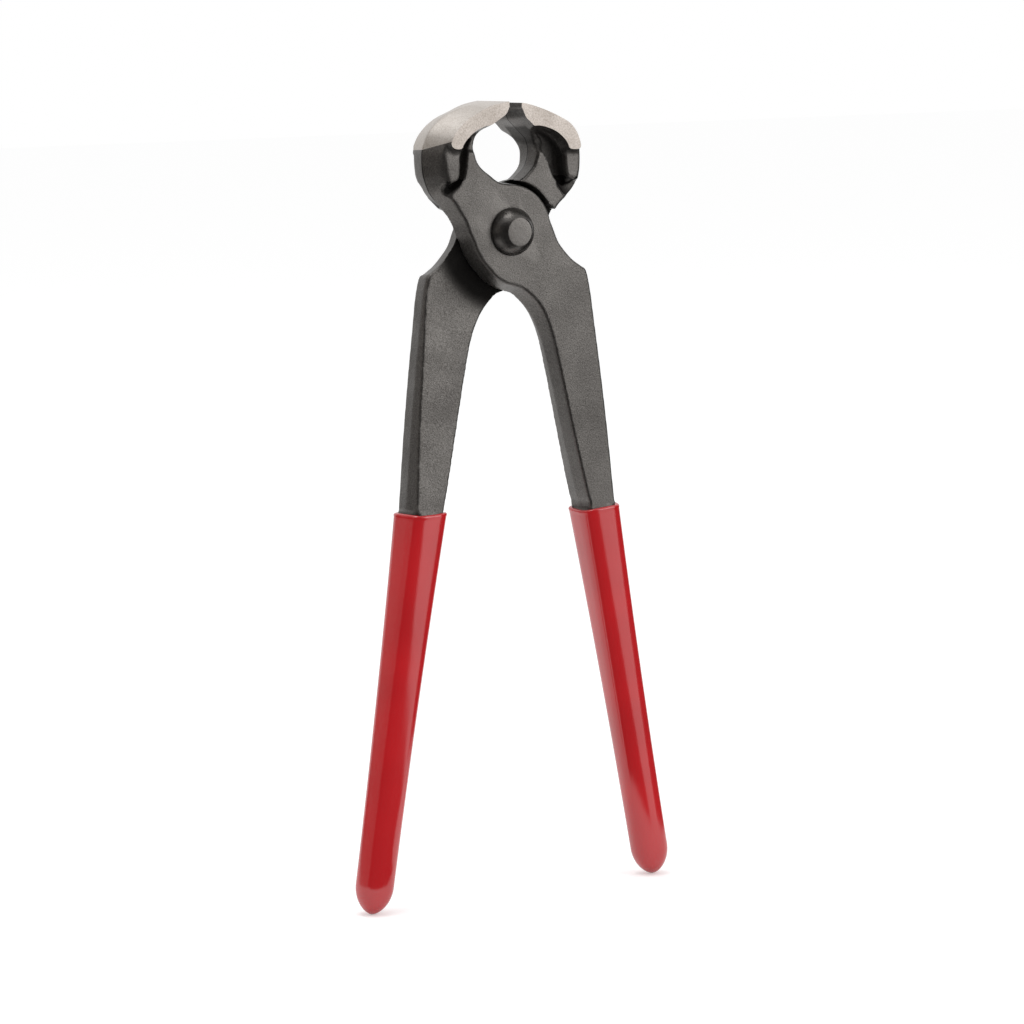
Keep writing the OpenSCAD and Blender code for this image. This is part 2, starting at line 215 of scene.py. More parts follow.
# A closed lever lies with its rivet at the origin, its jaw at the left and its handle to the
# right and down. Points are [x share, z share], as shares of the jaw's reach and height, of the
# disc's radius or of the way between two corners. The outline's points go on with the draft on
# the viewer's side, the draft on the far side and the edge break, each a share of the full one.
# The two jaws are ground by hand, so each has its own back and its own half of the hole.
FRONT_BACK_SHARES = [
    [0, 1, 0, 0, 0], [0.13, 0.9985, 0.1, 0.1, 0], [0.25, 0.995, 0.2, 0.25, 0],
    [0.417, 0.978, 0.48, 0.5, 0], [0.58, 0.946, 0.66, 0.55, 0], [0.717, 0.904, 0.87, 0.62, 0],
    [0.816, 0.857, 1.0, 0.67, 0], [0.902, 0.794, 1.12, 0.67, 0], [0.981, 0.685, 1.2, 0.6, 0],
    [0.997, 0.609, 1.32, 0.5, 0.1], [1, 0.534, 1.42, 0.5, 0.2], [0.983, 0.456, 1.38, 0.42, 0.4],
    [0.919, 0.338, 1.2, 0.45, 0.7], [0.799, 0.238, 1.1, 0.6, 1], [0.74, 0.181, 1, 0.8, 1],
    [0.671, 0.099, 1, 1, 1]]
REAR_BACK_SHARES = [
    [0, 1, 0, 0, 0], [0.113, 0.9965, 0.07, 0.1, 0], [0.349, 0.979, 0.34, 0.35, 0],
    [0.557, 0.937, 0.43, 0.45, 0], [0.728, 0.887, 0.5, 0.5, 0], [0.855, 0.8145, 0.65, 0.6, 0],
    [0.945, 0.731, 0.9, 0.65, 0], [0.983, 0.664, 1.08, 0.65, 0], [1, 0.58, 1.08, 0.65, 0.2],
    [0.983, 0.46, 0.95, 0.7, 0.4], [0.919, 0.35, 0.75, 0.8, 0.7], [0.80, 0.258, 0.82, 0.9, 1],
    [0.70, 0.18, 1.05, 1, 1], [0.64, 0.09, 1.1, 1, 1]]
WAIST_SHARES = [
    [-1.142, 0.02, 1, 1, 1], [-1.075, -0.135, 1, 1, 1], [-1.007, -0.35, 1, 1, 1],
    [-0.888, -0.578, 1, 1, 1], [-0.746, -0.769, 1, 1, 1], [-0.56, -0.985, 1, 1, 1],
    [-0.31, -1.165, 1, 1, 1], [-0.08, -1.255, 1, 1, 1], [0.15, -1.36, 1, 1, 1]]
LEG_INNER_SHARES = [
    [0, 0, 1, 1, 1], [0.26, 0.125, 0.6, 0.6, 1], [0.446, 0.307, 0.36, 0.36, 1],
    [0.677, 0.617, 0.3, 0.3, 1], [0.923, 0.93, 0.3, 0.3, 1], [1, 1, 0.3, 0.3, 1]]
LEG_OUTER_SHARES = [
    [1, 1, 0.3, 0.3, 1], [0.78, 0.68, 0.3, 0.3, 1], [0.51, 0.41, 0.3, 0.3, 1],
    [0.216, 0.178, 0.3, 0.3, 1], [0.05, 0.05, 0.3, 0.3, 1]]
SHOULDER_SHARES = [
    [0.968, 0.825, 0.3, 0.4, 1], [0.9, 0.73, 0.25, 0.5, 1], [0.793, 0.6, 0.25, 0.5, 1],
    [0.697, 0.431, 0.25, 0.5, 1], [0.6175, 0.256, 0.2, 0.5, 1], [0.568, 0.0375, 0.2, 0.5, 1]]
FRONT_HOLE_SHARES = [
    [0.23, 0.399, 0.4, 0.3, 1], [0.574, 0.468, 0.45, 0.3, 0.8], [0.809, 0.523, 0.5, 0.3, 0.6],
    [0.947, 0.582, 0.5, 0.3, 0.6], [0.99, 0.653, 0.5, 0.3, 0.4], [0.92, 0.726, 0.5, 0.4, 0.2],
    [0.755, 0.773, 0.5, 0.5, 0], [0.39, 0.825, 0.48, 0.45, 0], [0.096, 0.872, 0.42, 0.3, 0],
    [0.016, 0.922, 0.2, 0.15, 0], [0, 0.968, 0, 0, 0]]
REAR_HOLE_SHARES = [
    [0.3, 0.404, 0.1, 0.3, 1], [0.493, 0.426, 0.05, 0.6, 1], [0.855, 0.505, 0, 0.6, 0.8],
    [0.966, 0.572, 0.05, 0.46, 0.6], [0.997, 0.647, 0.15, 0.1, 0.4], [0.882, 0.72, 0.25, -0.35, 0.2],
    [0.667, 0.764, 0.35, -0.1, 0], [0.34, 0.823, 0.4, 0, 0], [0.105, 0.870, 0.35, 0, 0],
    [0.02, 0.929, 0.2, 0, 0], [0, 0.973, 0, 0, 0]]
# The inner edge of the ground ends, and down the inside of the forged rims.
FRONT_FACE_SHARES = [
    [0.35, 0.79], [0, 0.792], [-0.12, 0.8], [-0.25, 0.818], [-0.332, 0.815], [-0.441, 0.793],
    [-0.524, 0.76], [-0.595, 0.719], [-0.632, 0.687], [-0.645, 0.62], [-0.645, 0.52],
    [-0.66, 0.455], [-0.72, 0.418], [-0.82, 0.405], [-1.25, 0.4]]
REAR_FACE_SHARES = [
    [0.35, 0.79], [0, 0.78], [-0.12, 0.79], [-0.243, 0.815], [-0.39, 0.798], [-0.5, 0.77],
    [-0.589, 0.7275], [-0.64, 0.69], [-0.668, 0.65], [-0.678, 0.6], [-0.68, 0.52],
    [-0.7, 0.455], [-0.755, 0.412], [-0.84, 0.4], [-1.25, 0.4]]
REAR_FAR_FACE_SHARES = [
    [0.35, 0.79], [0.03, 0.785], [-0.1, 0.775], [-0.2, 0.758], [-0.29, 0.735], [-0.39, 0.7],
    [-0.48, 0.66], [-0.57, 0.62], [-0.64, 0.58], [-0.67, 0.54], [-0.68, 0.5], [-0.7, 0.455],
    [-0.755, 0.412], [-0.84, 0.4], [-1.25, 0.4]]
# The pocket between the rim and the web, at its top.
FRONT_POCKET_SHARES = [
    [-0.43, 0.772], [-0.49, 0.752], [-0.552, 0.718], [-0.6135, 0.664], [-0.65, 0.6],
    [-0.6585, 0.517], [-0.675, 0.465], [-0.71, 0.432], [-0.77, 0.413], [-0.79, 0.39],
    [-0.77, 0.36], [-0.708, 0.372], [-0.632, 0.408], [-0.581, 0.446], [-0.552, 0.495],
    [-0.532, 0.564], [-0.515, 0.62], [-0.487, 0.66], [-0.452, 0.703], [-0.425, 0.742]]
REAR_POCKET_SHARES = [
    [-0.28, 0.8], [-0.383, 0.782], [-0.48, 0.752], [-0.565, 0.709], [-0.628, 0.658],
    [-0.672, 0.6], [-0.685, 0.516], [-0.702, 0.462], [-0.735, 0.43], [-0.765, 0.405],
    [-0.765, 0.375], [-0.72, 0.355], [-0.645, 0.385], [-0.565, 0.431], [-0.52, 0.49],
    [-0.475, 0.555], [-0.42, 0.608], [-0.4, 0.65], [-0.4, 0.706], [-0.345, 0.745],
    [-0.287, 0.78]]
# The shallow end of the pocket, which runs out through the jaw's back.
FRONT_RUNNEL_SHARES = [
    [-0.62, 0.42], [-0.72, 0.43], [-0.82, 0.415], [-1.178, 0.41], [-1.178, 0.24],
    [-0.82, 0.304], [-0.73, 0.345], [-0.65, 0.385]]
REAR_RUNNEL_SHARES = [
    [-0.64, 0.42], [-0.75, 0.43], [-0.85, 0.41], [-1.225, 0.4], [-1.225, 0.2],
    [-0.76, 0.278], [-0.66, 0.33], [-0.6, 0.38]]
# Where the web falls away under the ground end.
FRONT_SADDLE_SHARES = [
    [-0.54, 0.65], [-0.46, 0.636], [-0.3, 0.63], [-0.12, 0.66], [-0.08, 0.74],
    [-0.15, 0.795], [-0.25, 0.806], [-0.34, 0.8], [-0.45, 0.775], [-0.54, 0.735]]
REAR_SADDLE_SHARES = [
    [-0.6, 0.62], [-0.5, 0.612], [-0.4, 0.618], [-0.3, 0.64], [-0.05, 0.68], [-0.05, 0.73],
    [-0.19, 0.765], [-0.27, 0.797], [-0.37, 0.79], [-0.48, 0.765], [-0.57, 0.72]]
# The outer step, below which the forged rims keep their width.
FRONT_STEP_SHARES = [
    [-1.25, 0.33], [-0.5, 0.33], [-0.5, 0.704], [-0.61, 0.708], [-0.632, 0.687],
    [-0.663, 0.678], [-0.703, 0.676], [-0.744, 0.681], [-0.777, 0.693], [-0.797, 0.715],
    [-0.814, 0.74], [-0.85, 0.75], [-1.25, 0.75]]
REAR_STEP_SHARES = [
    [-1.25, 0.33], [-0.5, 0.33], [-0.5, 0.686], [-0.635, 0.689], [-0.655, 0.669],
    [-0.69, 0.657], [-0.745, 0.653], [-0.813, 0.654], [-0.847, 0.667], [-0.868, 0.692],
    [-1.25, 0.7]]
# Walls of the sinkers: [height, how far the wall has drawn in], as shares of the sinker's depth.
FACE_WALL_SHARES = [[2, -0.5], [0.5, 0], [0, 0.25]]
POCKET_WALL_SHARES = [[3.2, -0.2], [1, 0], [0.25, 0.13], [0.08, 0.22], [0, 0.36]]
RUNNEL_WALL_SHARES = [[4, -0.5], [1, 0], [0.4, 0.4], [0.1, 0.8], [0, 1.3]]
FRONT_SADDLE_WALL_SHARES = [[2.5, -0.4], [1, 0], [0.45, 0.25], [0.12, 0.62], [0, 0.9]]
REAR_SADDLE_WALL_SHARES = [[2.5, -0.4], [1, 0], [0.68, 0.3], [0.36, 0.75], [0.12, 1.3], [0, 1.9]]
STEP_WALL_SHARES = [[2.5, -0.4], [1, 0], [0.25, 0.2], [0, 0.6]]
FAR_STEP_WALL_SHARES = [[2.5, -0.8], [1, 0], [0.6, 0.6], [0.25, 1.4], [0, 2.4]]
# How much lower the outer step lies on the far side, as a share of the jaw's height.
FAR_STEP_DROP = 0.06
# How the lap floor rises on the handle: [share of the run-out's length, share of its depth].
RUN_OUT_SHARES = [[0, 0], [0.12, 0.03], [0.3, 0.26], [0.5, 0.54], [0.75, 0.78], [1, 0.91],
                  [1.5, 1.08], [2.4, 1.3]]
# The handle's inside face: [share of the way down to the grip, share of half the joint].
INSIDE_SHARES = [
    [0.03, 0.2], [0.15, 0.25], [0.28, 0.31], [0.48, 0.54], [0.7, 0.69], [0.89, 0.88], [1.05, 1]]
# The disc's round edge between shoulder and hole: its first angle, its last and the step.
ARC_DEGREES = (8, 78, 10)
# Drafts and edge break of that edge and of the handle's foot.
ARC_SIDES = [0.15, 0.5, 0.7]
FOOT_SIDES = [0.3, 0.3, 1]
CROTCH = (6.4, -22.9)
SHOULDER = (25.1, -16.0)
GRIP_TOP = (24.1, -79.5)
GRIP_LEAN = math.radians(6.3)
JAW_DRAFT = math.radians(19)
# How far the tool stands open.
OPENING = math.radians(6.5)
# The stop face's angle from the jaw, and its corner, which makes room for the other lever's
# shoulder: radius and angle.
STOP_DEGREES = 24
STOP_CORNER = [(13.0, 146.6), (14.4, 147.2), (14.9, 150.4), (15.4, 154.2), (16.0, 158.2),
               (17.3, 161.4), (20.5, 162.4), (20.5, 200.0), (13.0, 200.0)]
# The forged rims' outer edges are rounded below this share of the jaw's height.
RIM_TOP_SHARE = 0.66
RIM_FADE_SHARE = 0.05
# Rows round a broken edge, as shares of the break, and how near the rims' round comes to square.
BREAK_ROWS = (0, 0.12, 0.45, 1)
RIM_SQUARE_SHARE = 0.96
# Where the grinding of the back stops: a share of the jaw's height at the parting line, and how
# the line rises with the depth on the viewer's side and on the far side.
GROUND_LINE_SHARE = 0.686
GROUND_LINE_SLOPES = (0.23, -0.05)
# Everything further left than this belongs to the jaw.
JAW_RIGHT = -10
# What is left on for the grinding: at the tip, with the lift of its two corners, at the ends of
# the jaw and on the lap.
TIP_STOCK = 1.6
TIP_LIFTS = (0.05, 0.02)
SIDE_STOCK = 0.8
LAP_STOCK = 0.15
# How far cutters reach past what they cut, and the span of the handle's inside cutter.
OVERRUN = 3.0
INSIDE_SPAN = (-14.0, 60.0)
RUNNEL_DEPTH = 1.1
# Points on each stretch of an outline and of a cutter, and round the lap's cutters.
CURVE_STEPS = 6
CUTTER_STEPS = 4
RECESS_AROUND = 192
FLOOR_AROUND = 128


class PaintedShadeLine(NamedTuple):
    """A line along which shade is painted dark, with black scale, within a span of depths from the
    parting line.
    """

    shares: list
    full: float
    end: float
    shallow: float
    deep: float


# Lines along the grooves of the pockets and pads, where shade is painted dark.
FRONT_PAINTED_SHADE_LINES = (
    PaintedShadeLine([[-0.45, 0.76], [-0.55, 0.70], [-0.6, 0.62], [-0.595, 0.52], [-0.64, 0.44],
               [-0.72, 0.395], [-0.8, 0.365]], full=0.8, end=2.0, shallow=0, deep=5.3),
    PaintedShadeLine([[-0.79, 0.70], [-0.855, 0.645], [-0.872, 0.53], [-0.82, 0.43], [-0.755, 0.385],
               [-0.68, 0.40]], full=0.3, end=1.0, shallow=4.0, deep=8.0),
    PaintedShadeLine([[-0.8, 0.69], [-0.74, 0.655], [-0.66, 0.655]], full=0.5, end=1.2, shallow=5.6,
              deep=8.5),
)
REAR_PAINTED_SHADE_LINES = (
    PaintedShadeLine([[-0.2, 0.765], [-0.3, 0.752], [-0.4, 0.728], [-0.5, 0.695], [-0.58, 0.62],
               [-0.6, 0.52], [-0.66, 0.43]], full=1.9, end=3.4, shallow=0, deep=5.3),
    PaintedShadeLine([[-0.87, 0.665], [-0.9, 0.6], [-0.885, 0.5], [-0.81, 0.4], [-0.74, 0.385]],
              full=0.25, end=0.7, shallow=4.0, deep=8.0),
    PaintedShadeLine([[-0.9, 0.64], [-0.76, 0.635], [-0.66, 0.645]], full=0.5, end=1.2, shallow=5.6,
              deep=8.5),
)


class JawShape(NamedTuple):
    """What one jaw is drawn from, where the two differ."""

    back: list
    hole: list
    face: list
    far_face: list
    pocket: list
    runnel: list
    saddle: list
    saddle_walls: list
    saddle_depth: float
    step: list
    painted_shade_lines: tuple
    painted_shade_cover: float
    rim_round_share: float


FRONT_JAW = JawShape(
    back=FRONT_BACK_SHARES,
    hole=FRONT_HOLE_SHARES,
    face=FRONT_FACE_SHARES,
    far_face=FRONT_FACE_SHARES,
    pocket=FRONT_POCKET_SHARES,
    runnel=FRONT_RUNNEL_SHARES,
    saddle=FRONT_SADDLE_SHARES,
    saddle_walls=FRONT_SADDLE_WALL_SHARES,
    saddle_depth=1.2,
    step=FRONT_STEP_SHARES,
    painted_shade_lines=FRONT_PAINTED_SHADE_LINES,
    painted_shade_cover=0.54,
    rim_round_share=1,
)
REAR_JAW = JawShape(
    back=REAR_BACK_SHARES,
    hole=REAR_HOLE_SHARES,
    face=REAR_FACE_SHARES,
    far_face=REAR_FAR_FACE_SHARES,
    pocket=REAR_POCKET_SHARES,
    runnel=REAR_RUNNEL_SHARES,
    saddle=REAR_SADDLE_SHARES,
    saddle_walls=REAR_SADDLE_WALL_SHARES,
    saddle_depth=2.2,
    step=REAR_STEP_SHARES,
    painted_shade_lines=REAR_PAINTED_SHADE_LINES,
    painted_shade_cover=0.62,
    rim_round_share=0.6,
)


def smooth_curve(points, steps):
    """A smooth curve through points of any dimension, without its last point."""
    p = np.array(points, float)
    runs = []
    t = (np.arange(steps) / steps)[:, None]
    for i in range(len(p) - 1):
        a, b, c, d = p[max(i - 1, 0)], p[i], p[i + 1], p[min(i + 2, len(p) - 1)]
        runs.append((2 * b + (c - a) * t + (2 * a - 5 * b + 4 * c - d) * t**2
                     + (3 * b - a - 3 * c + d) * t**3) / 2)
    return np.concatenate(runs)


def between(a, b, shares):
    """Points given as shares between two corners, with their other values kept."""
    return [[a[0] + (b[0] - a[0]) * s[0], a[1] + (b[1] - a[1]) * s[1], *s[2:]] for s in shares]


def scaled(width, height, shares):
    """Points given as shares of a width and a height, with their other values kept."""
    return [[s[0] * width, s[1] * height, *s[2:]] for s in shares]


def outward(outline):
    """The outward directions at the points of a closed counter-clockwise outline."""
    d = np.roll(outline, -1, 0)[:, :2] - np.roll(outline, 1, 0)[:, :2]
    n = np.stack([d[:, 1], -d[:, 0]], 1)
    return n / np.linalg.norm(n, axis=1)[:, None]


def ring(outline, y, inward):
    """An outline as a ring at a depth, with its points drawn in."""
    flat = outline[:, :2] - outward(outline) * np.reshape(inward, (-1, 1))
    return np.stack([flat[:, 0], np.full(len(flat), y), flat[:, 1]], 1)


def stacked(name, rings):
    """A closed mesh object from rings of the same number of points, one above the other."""
    n, m = len(rings[0]), len(rings)
    faces = []
    for j in range(m - 1):
        for i in range(n):
            k = (i + 1) % n
            faces.append((j * n + i, j * n + k, (j + 1) * n + k, (j + 1) * n + i))
    faces += [tuple(reversed(range(n))), tuple((m - 1) * n + i for i in range(n))]
    mesh = bpy.data.meshes.new(name)
    mesh.from_pydata(np.concatenate(rings).tolist(), [], faces)
    return closed_object(name, mesh)


def placed(name, data):
    """An object for a mesh, a lamp or the camera, linked to the scene."""
    made = bpy.data.objects.new(name, data)
    bpy.context.scene.collection.objects.link(made)
    return made


def closed_object(name, mesh, made=None):
    """Links a closed mesh as an object if it isn't one yet, with its faces turned outwards."""
    b = bmesh.new()
    b.from_mesh(mesh)
    bmesh.ops.remove_doubles(b, verts=b.verts, dist=1e-5)
    bmesh.ops.recalc_face_normals(b, faces=b.faces)
    b.to_mesh(mesh)
    b.free()
    return made or placed(name, mesh)


def drop(*objects):
    """Removes helper objects and their meshes."""
    for o in objects:
        mesh = o.data
        bpy.data.objects.remove(o)
        bpy.data.meshes.remove(mesh)


def baked(made):
    """Turns what an object's modifiers make into its mesh, and leaves no modifier on it."""
    graph = bpy.context.evaluated_depsgraph_get()
    mesh = bpy.data.meshes.new_from_object(made.evaluated_get(graph))
    old = made.data
    made.modifiers.clear()
    made.data = mesh
    bpy.data.meshes.remove(old)
    return made


def applied(made, kind, **values):
    """Adds a modifier to an object and applies it at once."""
    modifier = made.modifiers.new(kind.title(), kind)
    for key, value in values.items():
        setattr(modifier, key, value)
    return baked(made)


def cut(made, *cutters, operation="DIFFERENCE", solver="MANIFOLD"):
    """Cuts an object with others, which are then dropped."""
    for cutter in cutters:
        applied(made, "BOOLEAN", object=cutter, operation=operation, solver=solver)
    drop(*cutters)
    if not made.data.polygons:
        raise RuntimeError(f"{made.name} was cut away whole")
    return made


def eased(height, edge, size):
    """How far a point is into the round of an edge: zero before it and one at its top."""
    return min(max((height - edge) / size + 1, 0), 1)


class Forging:
    """One lever's own sizes in millimetres, with the side of it that the viewer sees."""

    def __init__(self, sizes, rear):
        self.rear = rear
        self.near = 1 if rear else -1
        self.shape = REAR_JAW if rear else FRONT_JAW
        self.reach = (sizes.rear_jaw_back if rear else sizes.front_jaw_back) / MM
        self.jaw_h = (sizes.rear_jaw_height if rear else sizes.front_jaw_height) / MM
        self.hole_half = (sizes.rear_hole if rear else sizes.front_hole) / MM
        self.half_t = sizes.joint_thickness / MM / 2
        self.half_edge = sizes.edge_length / MM / 2
        self.half_rim = sizes.rim_width / MM / 2
        self.floor_y = sizes.pocket_web / MM / 2
        self.disc_r = sizes.disc_radius / MM
        self.leg_w = sizes.leg_width / MM
        self.edge_break = sizes.edge_break / MM
        self.rim_round = sizes.rim_round / MM * self.shape.rim_round_share

    def outline(self, steps, tip):
        """The outline at the parting line, with its tip run on past the cutting edge."""
        leg_in = (GRIP_TOP[0] - self.leg_w / 2, GRIP_TOP[1])
        leg_out = (GRIP_TOP[0] + self.leg_w / 2, GRIP_TOP[1])
        back = scaled(-self.reach, self.jaw_h, self.shape.back)
        back += scaled(self.disc_r, self.disc_r, WAIST_SHARES)
        back += between(CROTCH, leg_in, LEG_INNER_SHARES)
        first, last, step = ARC_DEGREES
        arc = [[self.disc_r * math.cos(math.radians(a)), self.disc_r * math.sin(math.radians(a)),
                *ARC_SIDES] for a in range(first, last + 1, step)]
        front = between(SHOULDER, leg_out, LEG_OUTER_SHARES)
        front += scaled(SHOULDER[0], SHOULDER[1], SHOULDER_SHARES) + arc
        front += scaled(-self.hole_half, self.jaw_h, self.shape.hole)
        fall = np.array([math.sin(GRIP_LEAN), -math.cos(GRIP_LEAN)]) * OVERRUN
        foot = [[leg[0] + fall[0], leg[1] + fall[1], *FOOT_SIDES] for leg in (leg_in, leg_out)]
        end = front[-1]
        return np.concatenate([
            smooth_curve(back, steps), foot, smooth_curve(front, steps),
            [end, [end[0] + tip, end[1] + TIP_LIFTS[0], 0, 0, 0],
             [tip, self.jaw_h + TIP_LIFTS[1], 0, 0, 0]]])

    def drawn_in(self, outline, y):
        """How far the sides have drawn in at a distance from the parting line."""
        bite = eased(abs(y), self.half_t, self.edge_break)
        bevel = eased(abs(y), self.half_rim, self.rim_round)
        draft = outline[:, 2] if y * self.near > 0 else outline[:, 3]
        rim = np.clip((RIM_TOP_SHARE - outline[:, 1] / self.jaw_h) / RIM_FADE_SHARE, 0, 1)
        rim = rim * (outline[:, 0] < JAW_RIGHT)
        return (math.tan(JAW_DRAFT) * abs(y) * draft
                + self.edge_break * outline[:, 4] * (1 - math.sqrt(1 - bite * bite))
                + self.rim_round * rim * (1 - math.sqrt(1 - RIM_SQUARE_SHARE * bevel * bevel)))

    def blank(self):
        """The forged blank, a little wider than its ground ends."""
        outline = self.outline(CURVE_STEPS, TIP_STOCK)
        heights = [self.half_edge + SIDE_STOCK]
        for top, size in ((self.half_rim, self.rim_round), (self.half_t, self.edge_break)):
            heights += [top - size * share for share in BREAK_ROWS]
        levels = [-h for h in heights] + [0.0] + heights[::-1]
        return stacked("blank", [ring(outline, y, self.drawn_in(outline, y)) for y in levels])

    def cutters(self):
        """All cutters that shape the forged jaw and handle."""
        reach = OVERRUN * 4
        right, low = SHOULDER[0] + self.leg_w + reach, GRIP_TOP[1] - reach
        shape, half_t = self.shape, self.half_t
        size = (self.reach, self.jaw_h)
        pocket, runnel, saddle = [closed_curve(scaled(*size, points), CUTTER_STEPS)
                                  for points in (shape.pocket, shape.runnel, shape.saddle)]
        made = []
        for side in (-1, 1):
            far = side != self.near
            edge = scaled(*size, shape.far_face if far else shape.face)
            face = np.concatenate([smooth_curve(edge, CUTTER_STEPS), [
                [-self.reach - reach, edge[-1][1]], [-self.reach - reach, low], [right, low],
                [right, edge[0][1]]]])
            drop_h = FAR_STEP_DROP * self.jaw_h if far else 0
            step = np.array(scaled(*size, shape.step)) - np.array([0, drop_h])
            for outline, floor_h, top_h, walls in (
                (face, half_t, self.half_edge, FACE_WALL_SHARES),
                (pocket, self.floor_y, half_t, POCKET_WALL_SHARES),
                (runnel, half_t - RUNNEL_DEPTH, half_t, RUNNEL_WALL_SHARES),
                (step, self.half_rim, self.half_edge,
                 FAR_STEP_WALL_SHARES if far else STEP_WALL_SHARES),
                (saddle, half_t - shape.saddle_depth, half_t, shape.saddle_walls),
            ):
                # The far side of the rear jaw isn't seen, and its web is left whole there.
                if not (far and self.rear and outline is saddle):
                    made.append(sinker(outline, floor_h, top_h - floor_h, walls, side))
        return made


def sinker(outline, floor_h, depth, wall_shares, side):
    """A cutter with leaning walls on one side of the parting line."""
    levels = [(floor_h + depth * s[0], depth * s[1]) for s in wall_shares]
    return stacked("sinker", [
        ring(outline, side * h, np.full(len(outline), inward)) for h, inward in levels])


def closed_curve(points, steps):
    """A smooth closed curve."""
    p = np.array(points, float)
    return smooth_curve(np.concatenate([p, p[:1]]), steps)


def block(name, low, high):
    """A box between two corners."""
    x, y, z = zip(low, high)
    ring_xy = [(x[0], y[0]), (x[1], y[0]), (x[1], y[1]), (x[0], y[1])]
    return stacked(name, [np.array([(a, b, c) for a, b in ring_xy]) for c in z])


def inside_cutter(sizes):
    """Thins the upper handle on its inside face."""
    half_t = sizes.joint_thickness / MM / 2
    ramp = smooth_curve([[s[1] * half_t, s[0] * GRIP_TOP[1]] for s in INSIDE_SHARES], CUTTER_STEPS)
    top = sizes.edge_length / MM / 2 + OVERRUN
    end = (INSIDE_SHARES[-1][1] * half_t, INSIDE_SHARES[-1][0] * GRIP_TOP[1])
    profile = list(map(tuple, ramp)) + [end, (top, end[1]), (top, ramp[0][1])]
    return stacked("inside", [np.array([(x, y, z) for y, z in profile]) for x in INSIDE_SPAN])


def turned(name, profile, angle_from, angle_to, steps):
    """A profile of (radius, y) points turned about the Y axis, closed to the axis."""
    full = abs(angle_to - angle_from) >= 360
    angles = [math.radians(angle_from + (angle_to - angle_from) * i / steps)
              for i in range(steps + (0 if full else 1))]
    rings = [np.array([(r * math.cos(a), y, r * math.sin(a)) for r, y in profile]) for a in angles]
    n, m = len(profile), len(rings)
    faces = []
    for j in range(m if full else m - 1):
        for i in range(n):
            k, l = (i + 1) % n, (j + 1) % m
            faces.append((j * n + i, j * n + k, l * n + k, l * n + i))
    if not full:
        faces += [tuple(range(n)), tuple((m - 1) * n + i for i in reversed(range(n)))]
    mesh = bpy.data.meshes.new(name)
    mesh.from_pydata(np.concatenate(rings).tolist(), [], faces)
    return closed_object(name, mesh)


def lap_cutters(sizes, stock, run_out):
    """Takes away the half of the joint that the other lever fills."""
    face = -sizes.lap_gap / MM / 2 + stock
    top = sizes.edge_length / MM / 2 + OVERRUN + 1
    recess_r = sizes.recess_radius / MM - stock
    recess = turned("recess", [(0, face), (recess_r, face), (recess_r, top), (0, top)], 0, 360,
                    RECESS_AROUND)
    floor_r = sizes.lap_floor_radius / MM
    side = [(floor_r, face)]
    if run_out:
        side = [(floor_r + sizes.run_out_length / MM * s[0], face + sizes.run_out_depth / MM * s[1])
                for s in RUN_OUT_SHARES]
    profile = [(0, face)] + side + [(side[-1][0], top), (0, top)]
    floor = turned("lap_floor", profile, 180 - STOP_DEGREES, 360 + ARC_DEGREES[0], FLOOR_AROUND)
    corner = [(r * math.cos(math.radians(a)), r * math.sin(math.radians(a))) for r, a in STOP_CORNER]
    stop = stacked("stop", [np.array([(x, y, z) for x, z in corner]) for y in (face, top)])
    return recess, floor, stop


# Sections of the grip

# The sleeve tree's inputs with what they start from. Lengths are in millimetres.
SLEEVE_INPUTS = {
    "Length": 112.0, "Rim width": 12.0, "Rim depth": 12.0, "End width": 10.0, "End depth": 10.0,
    "Flare": 3.0, "Nose": 7.0, "Squareness": 3.0, "End squareness": 2.2, "Thickness": 0.9,
    "Bead height": 1.0, "Bead swell": 0.1, "Waviness": 0.1, "Slant": 0.1}
SLEEVE_AROUND = 97
SLEEVE_ROWS = 241
# The nose's round, and how the section turns from its end's form to its rim's.
NOSE_POWER = 0.6
SECTION_POWER = 1.6
# The bead's inner round, how much it draws in, and how close to the rim waves and slant keep.
BEAD_ROUND = 2.5
BEAD_DRAW = 0.3
WAVES_AROUND = 3
WAVES_START = 0.8
WAVES_POWER = 14
SLANT_POWER = 10
SEAM_GAP = 0.002


def signed_power(tree, value, power):
    """A value raised to a power with its sign kept."""
    size = maths(tree, "POWER", maths(tree, "ABSOLUTE", value), power)
    return maths(tree, "MULTIPLY", size, maths(tree, "SIGN", value))


def sleeve_sockets(tree):
    """Gives the sleeve tree its named inputs and its output."""
    sockets = [(label, "Float", value) for label, value in SLEEVE_INPUTS.items()]
    sockets += [("Around", "Int", SLEEVE_AROUND), ("Rows", "Int", SLEEVE_ROWS)]
    for label, kind, value in sockets:
        socket = tree.interface.new_socket(
            name=label, in_out="INPUT", socket_type=f"NodeSocket{kind}")
        socket.default_value = value
    tree.interface.new_socket(name="Finish", in_out="INPUT", socket_type="NodeSocketMaterial")
    tree.interface.new_socket(name="Geometry", in_out="OUTPUT", socket_type="NodeSocketGeometry")
    return tree.nodes.new("NodeGroupInput").outputs, tree.nodes.new("NodeGroupOutput").inputs


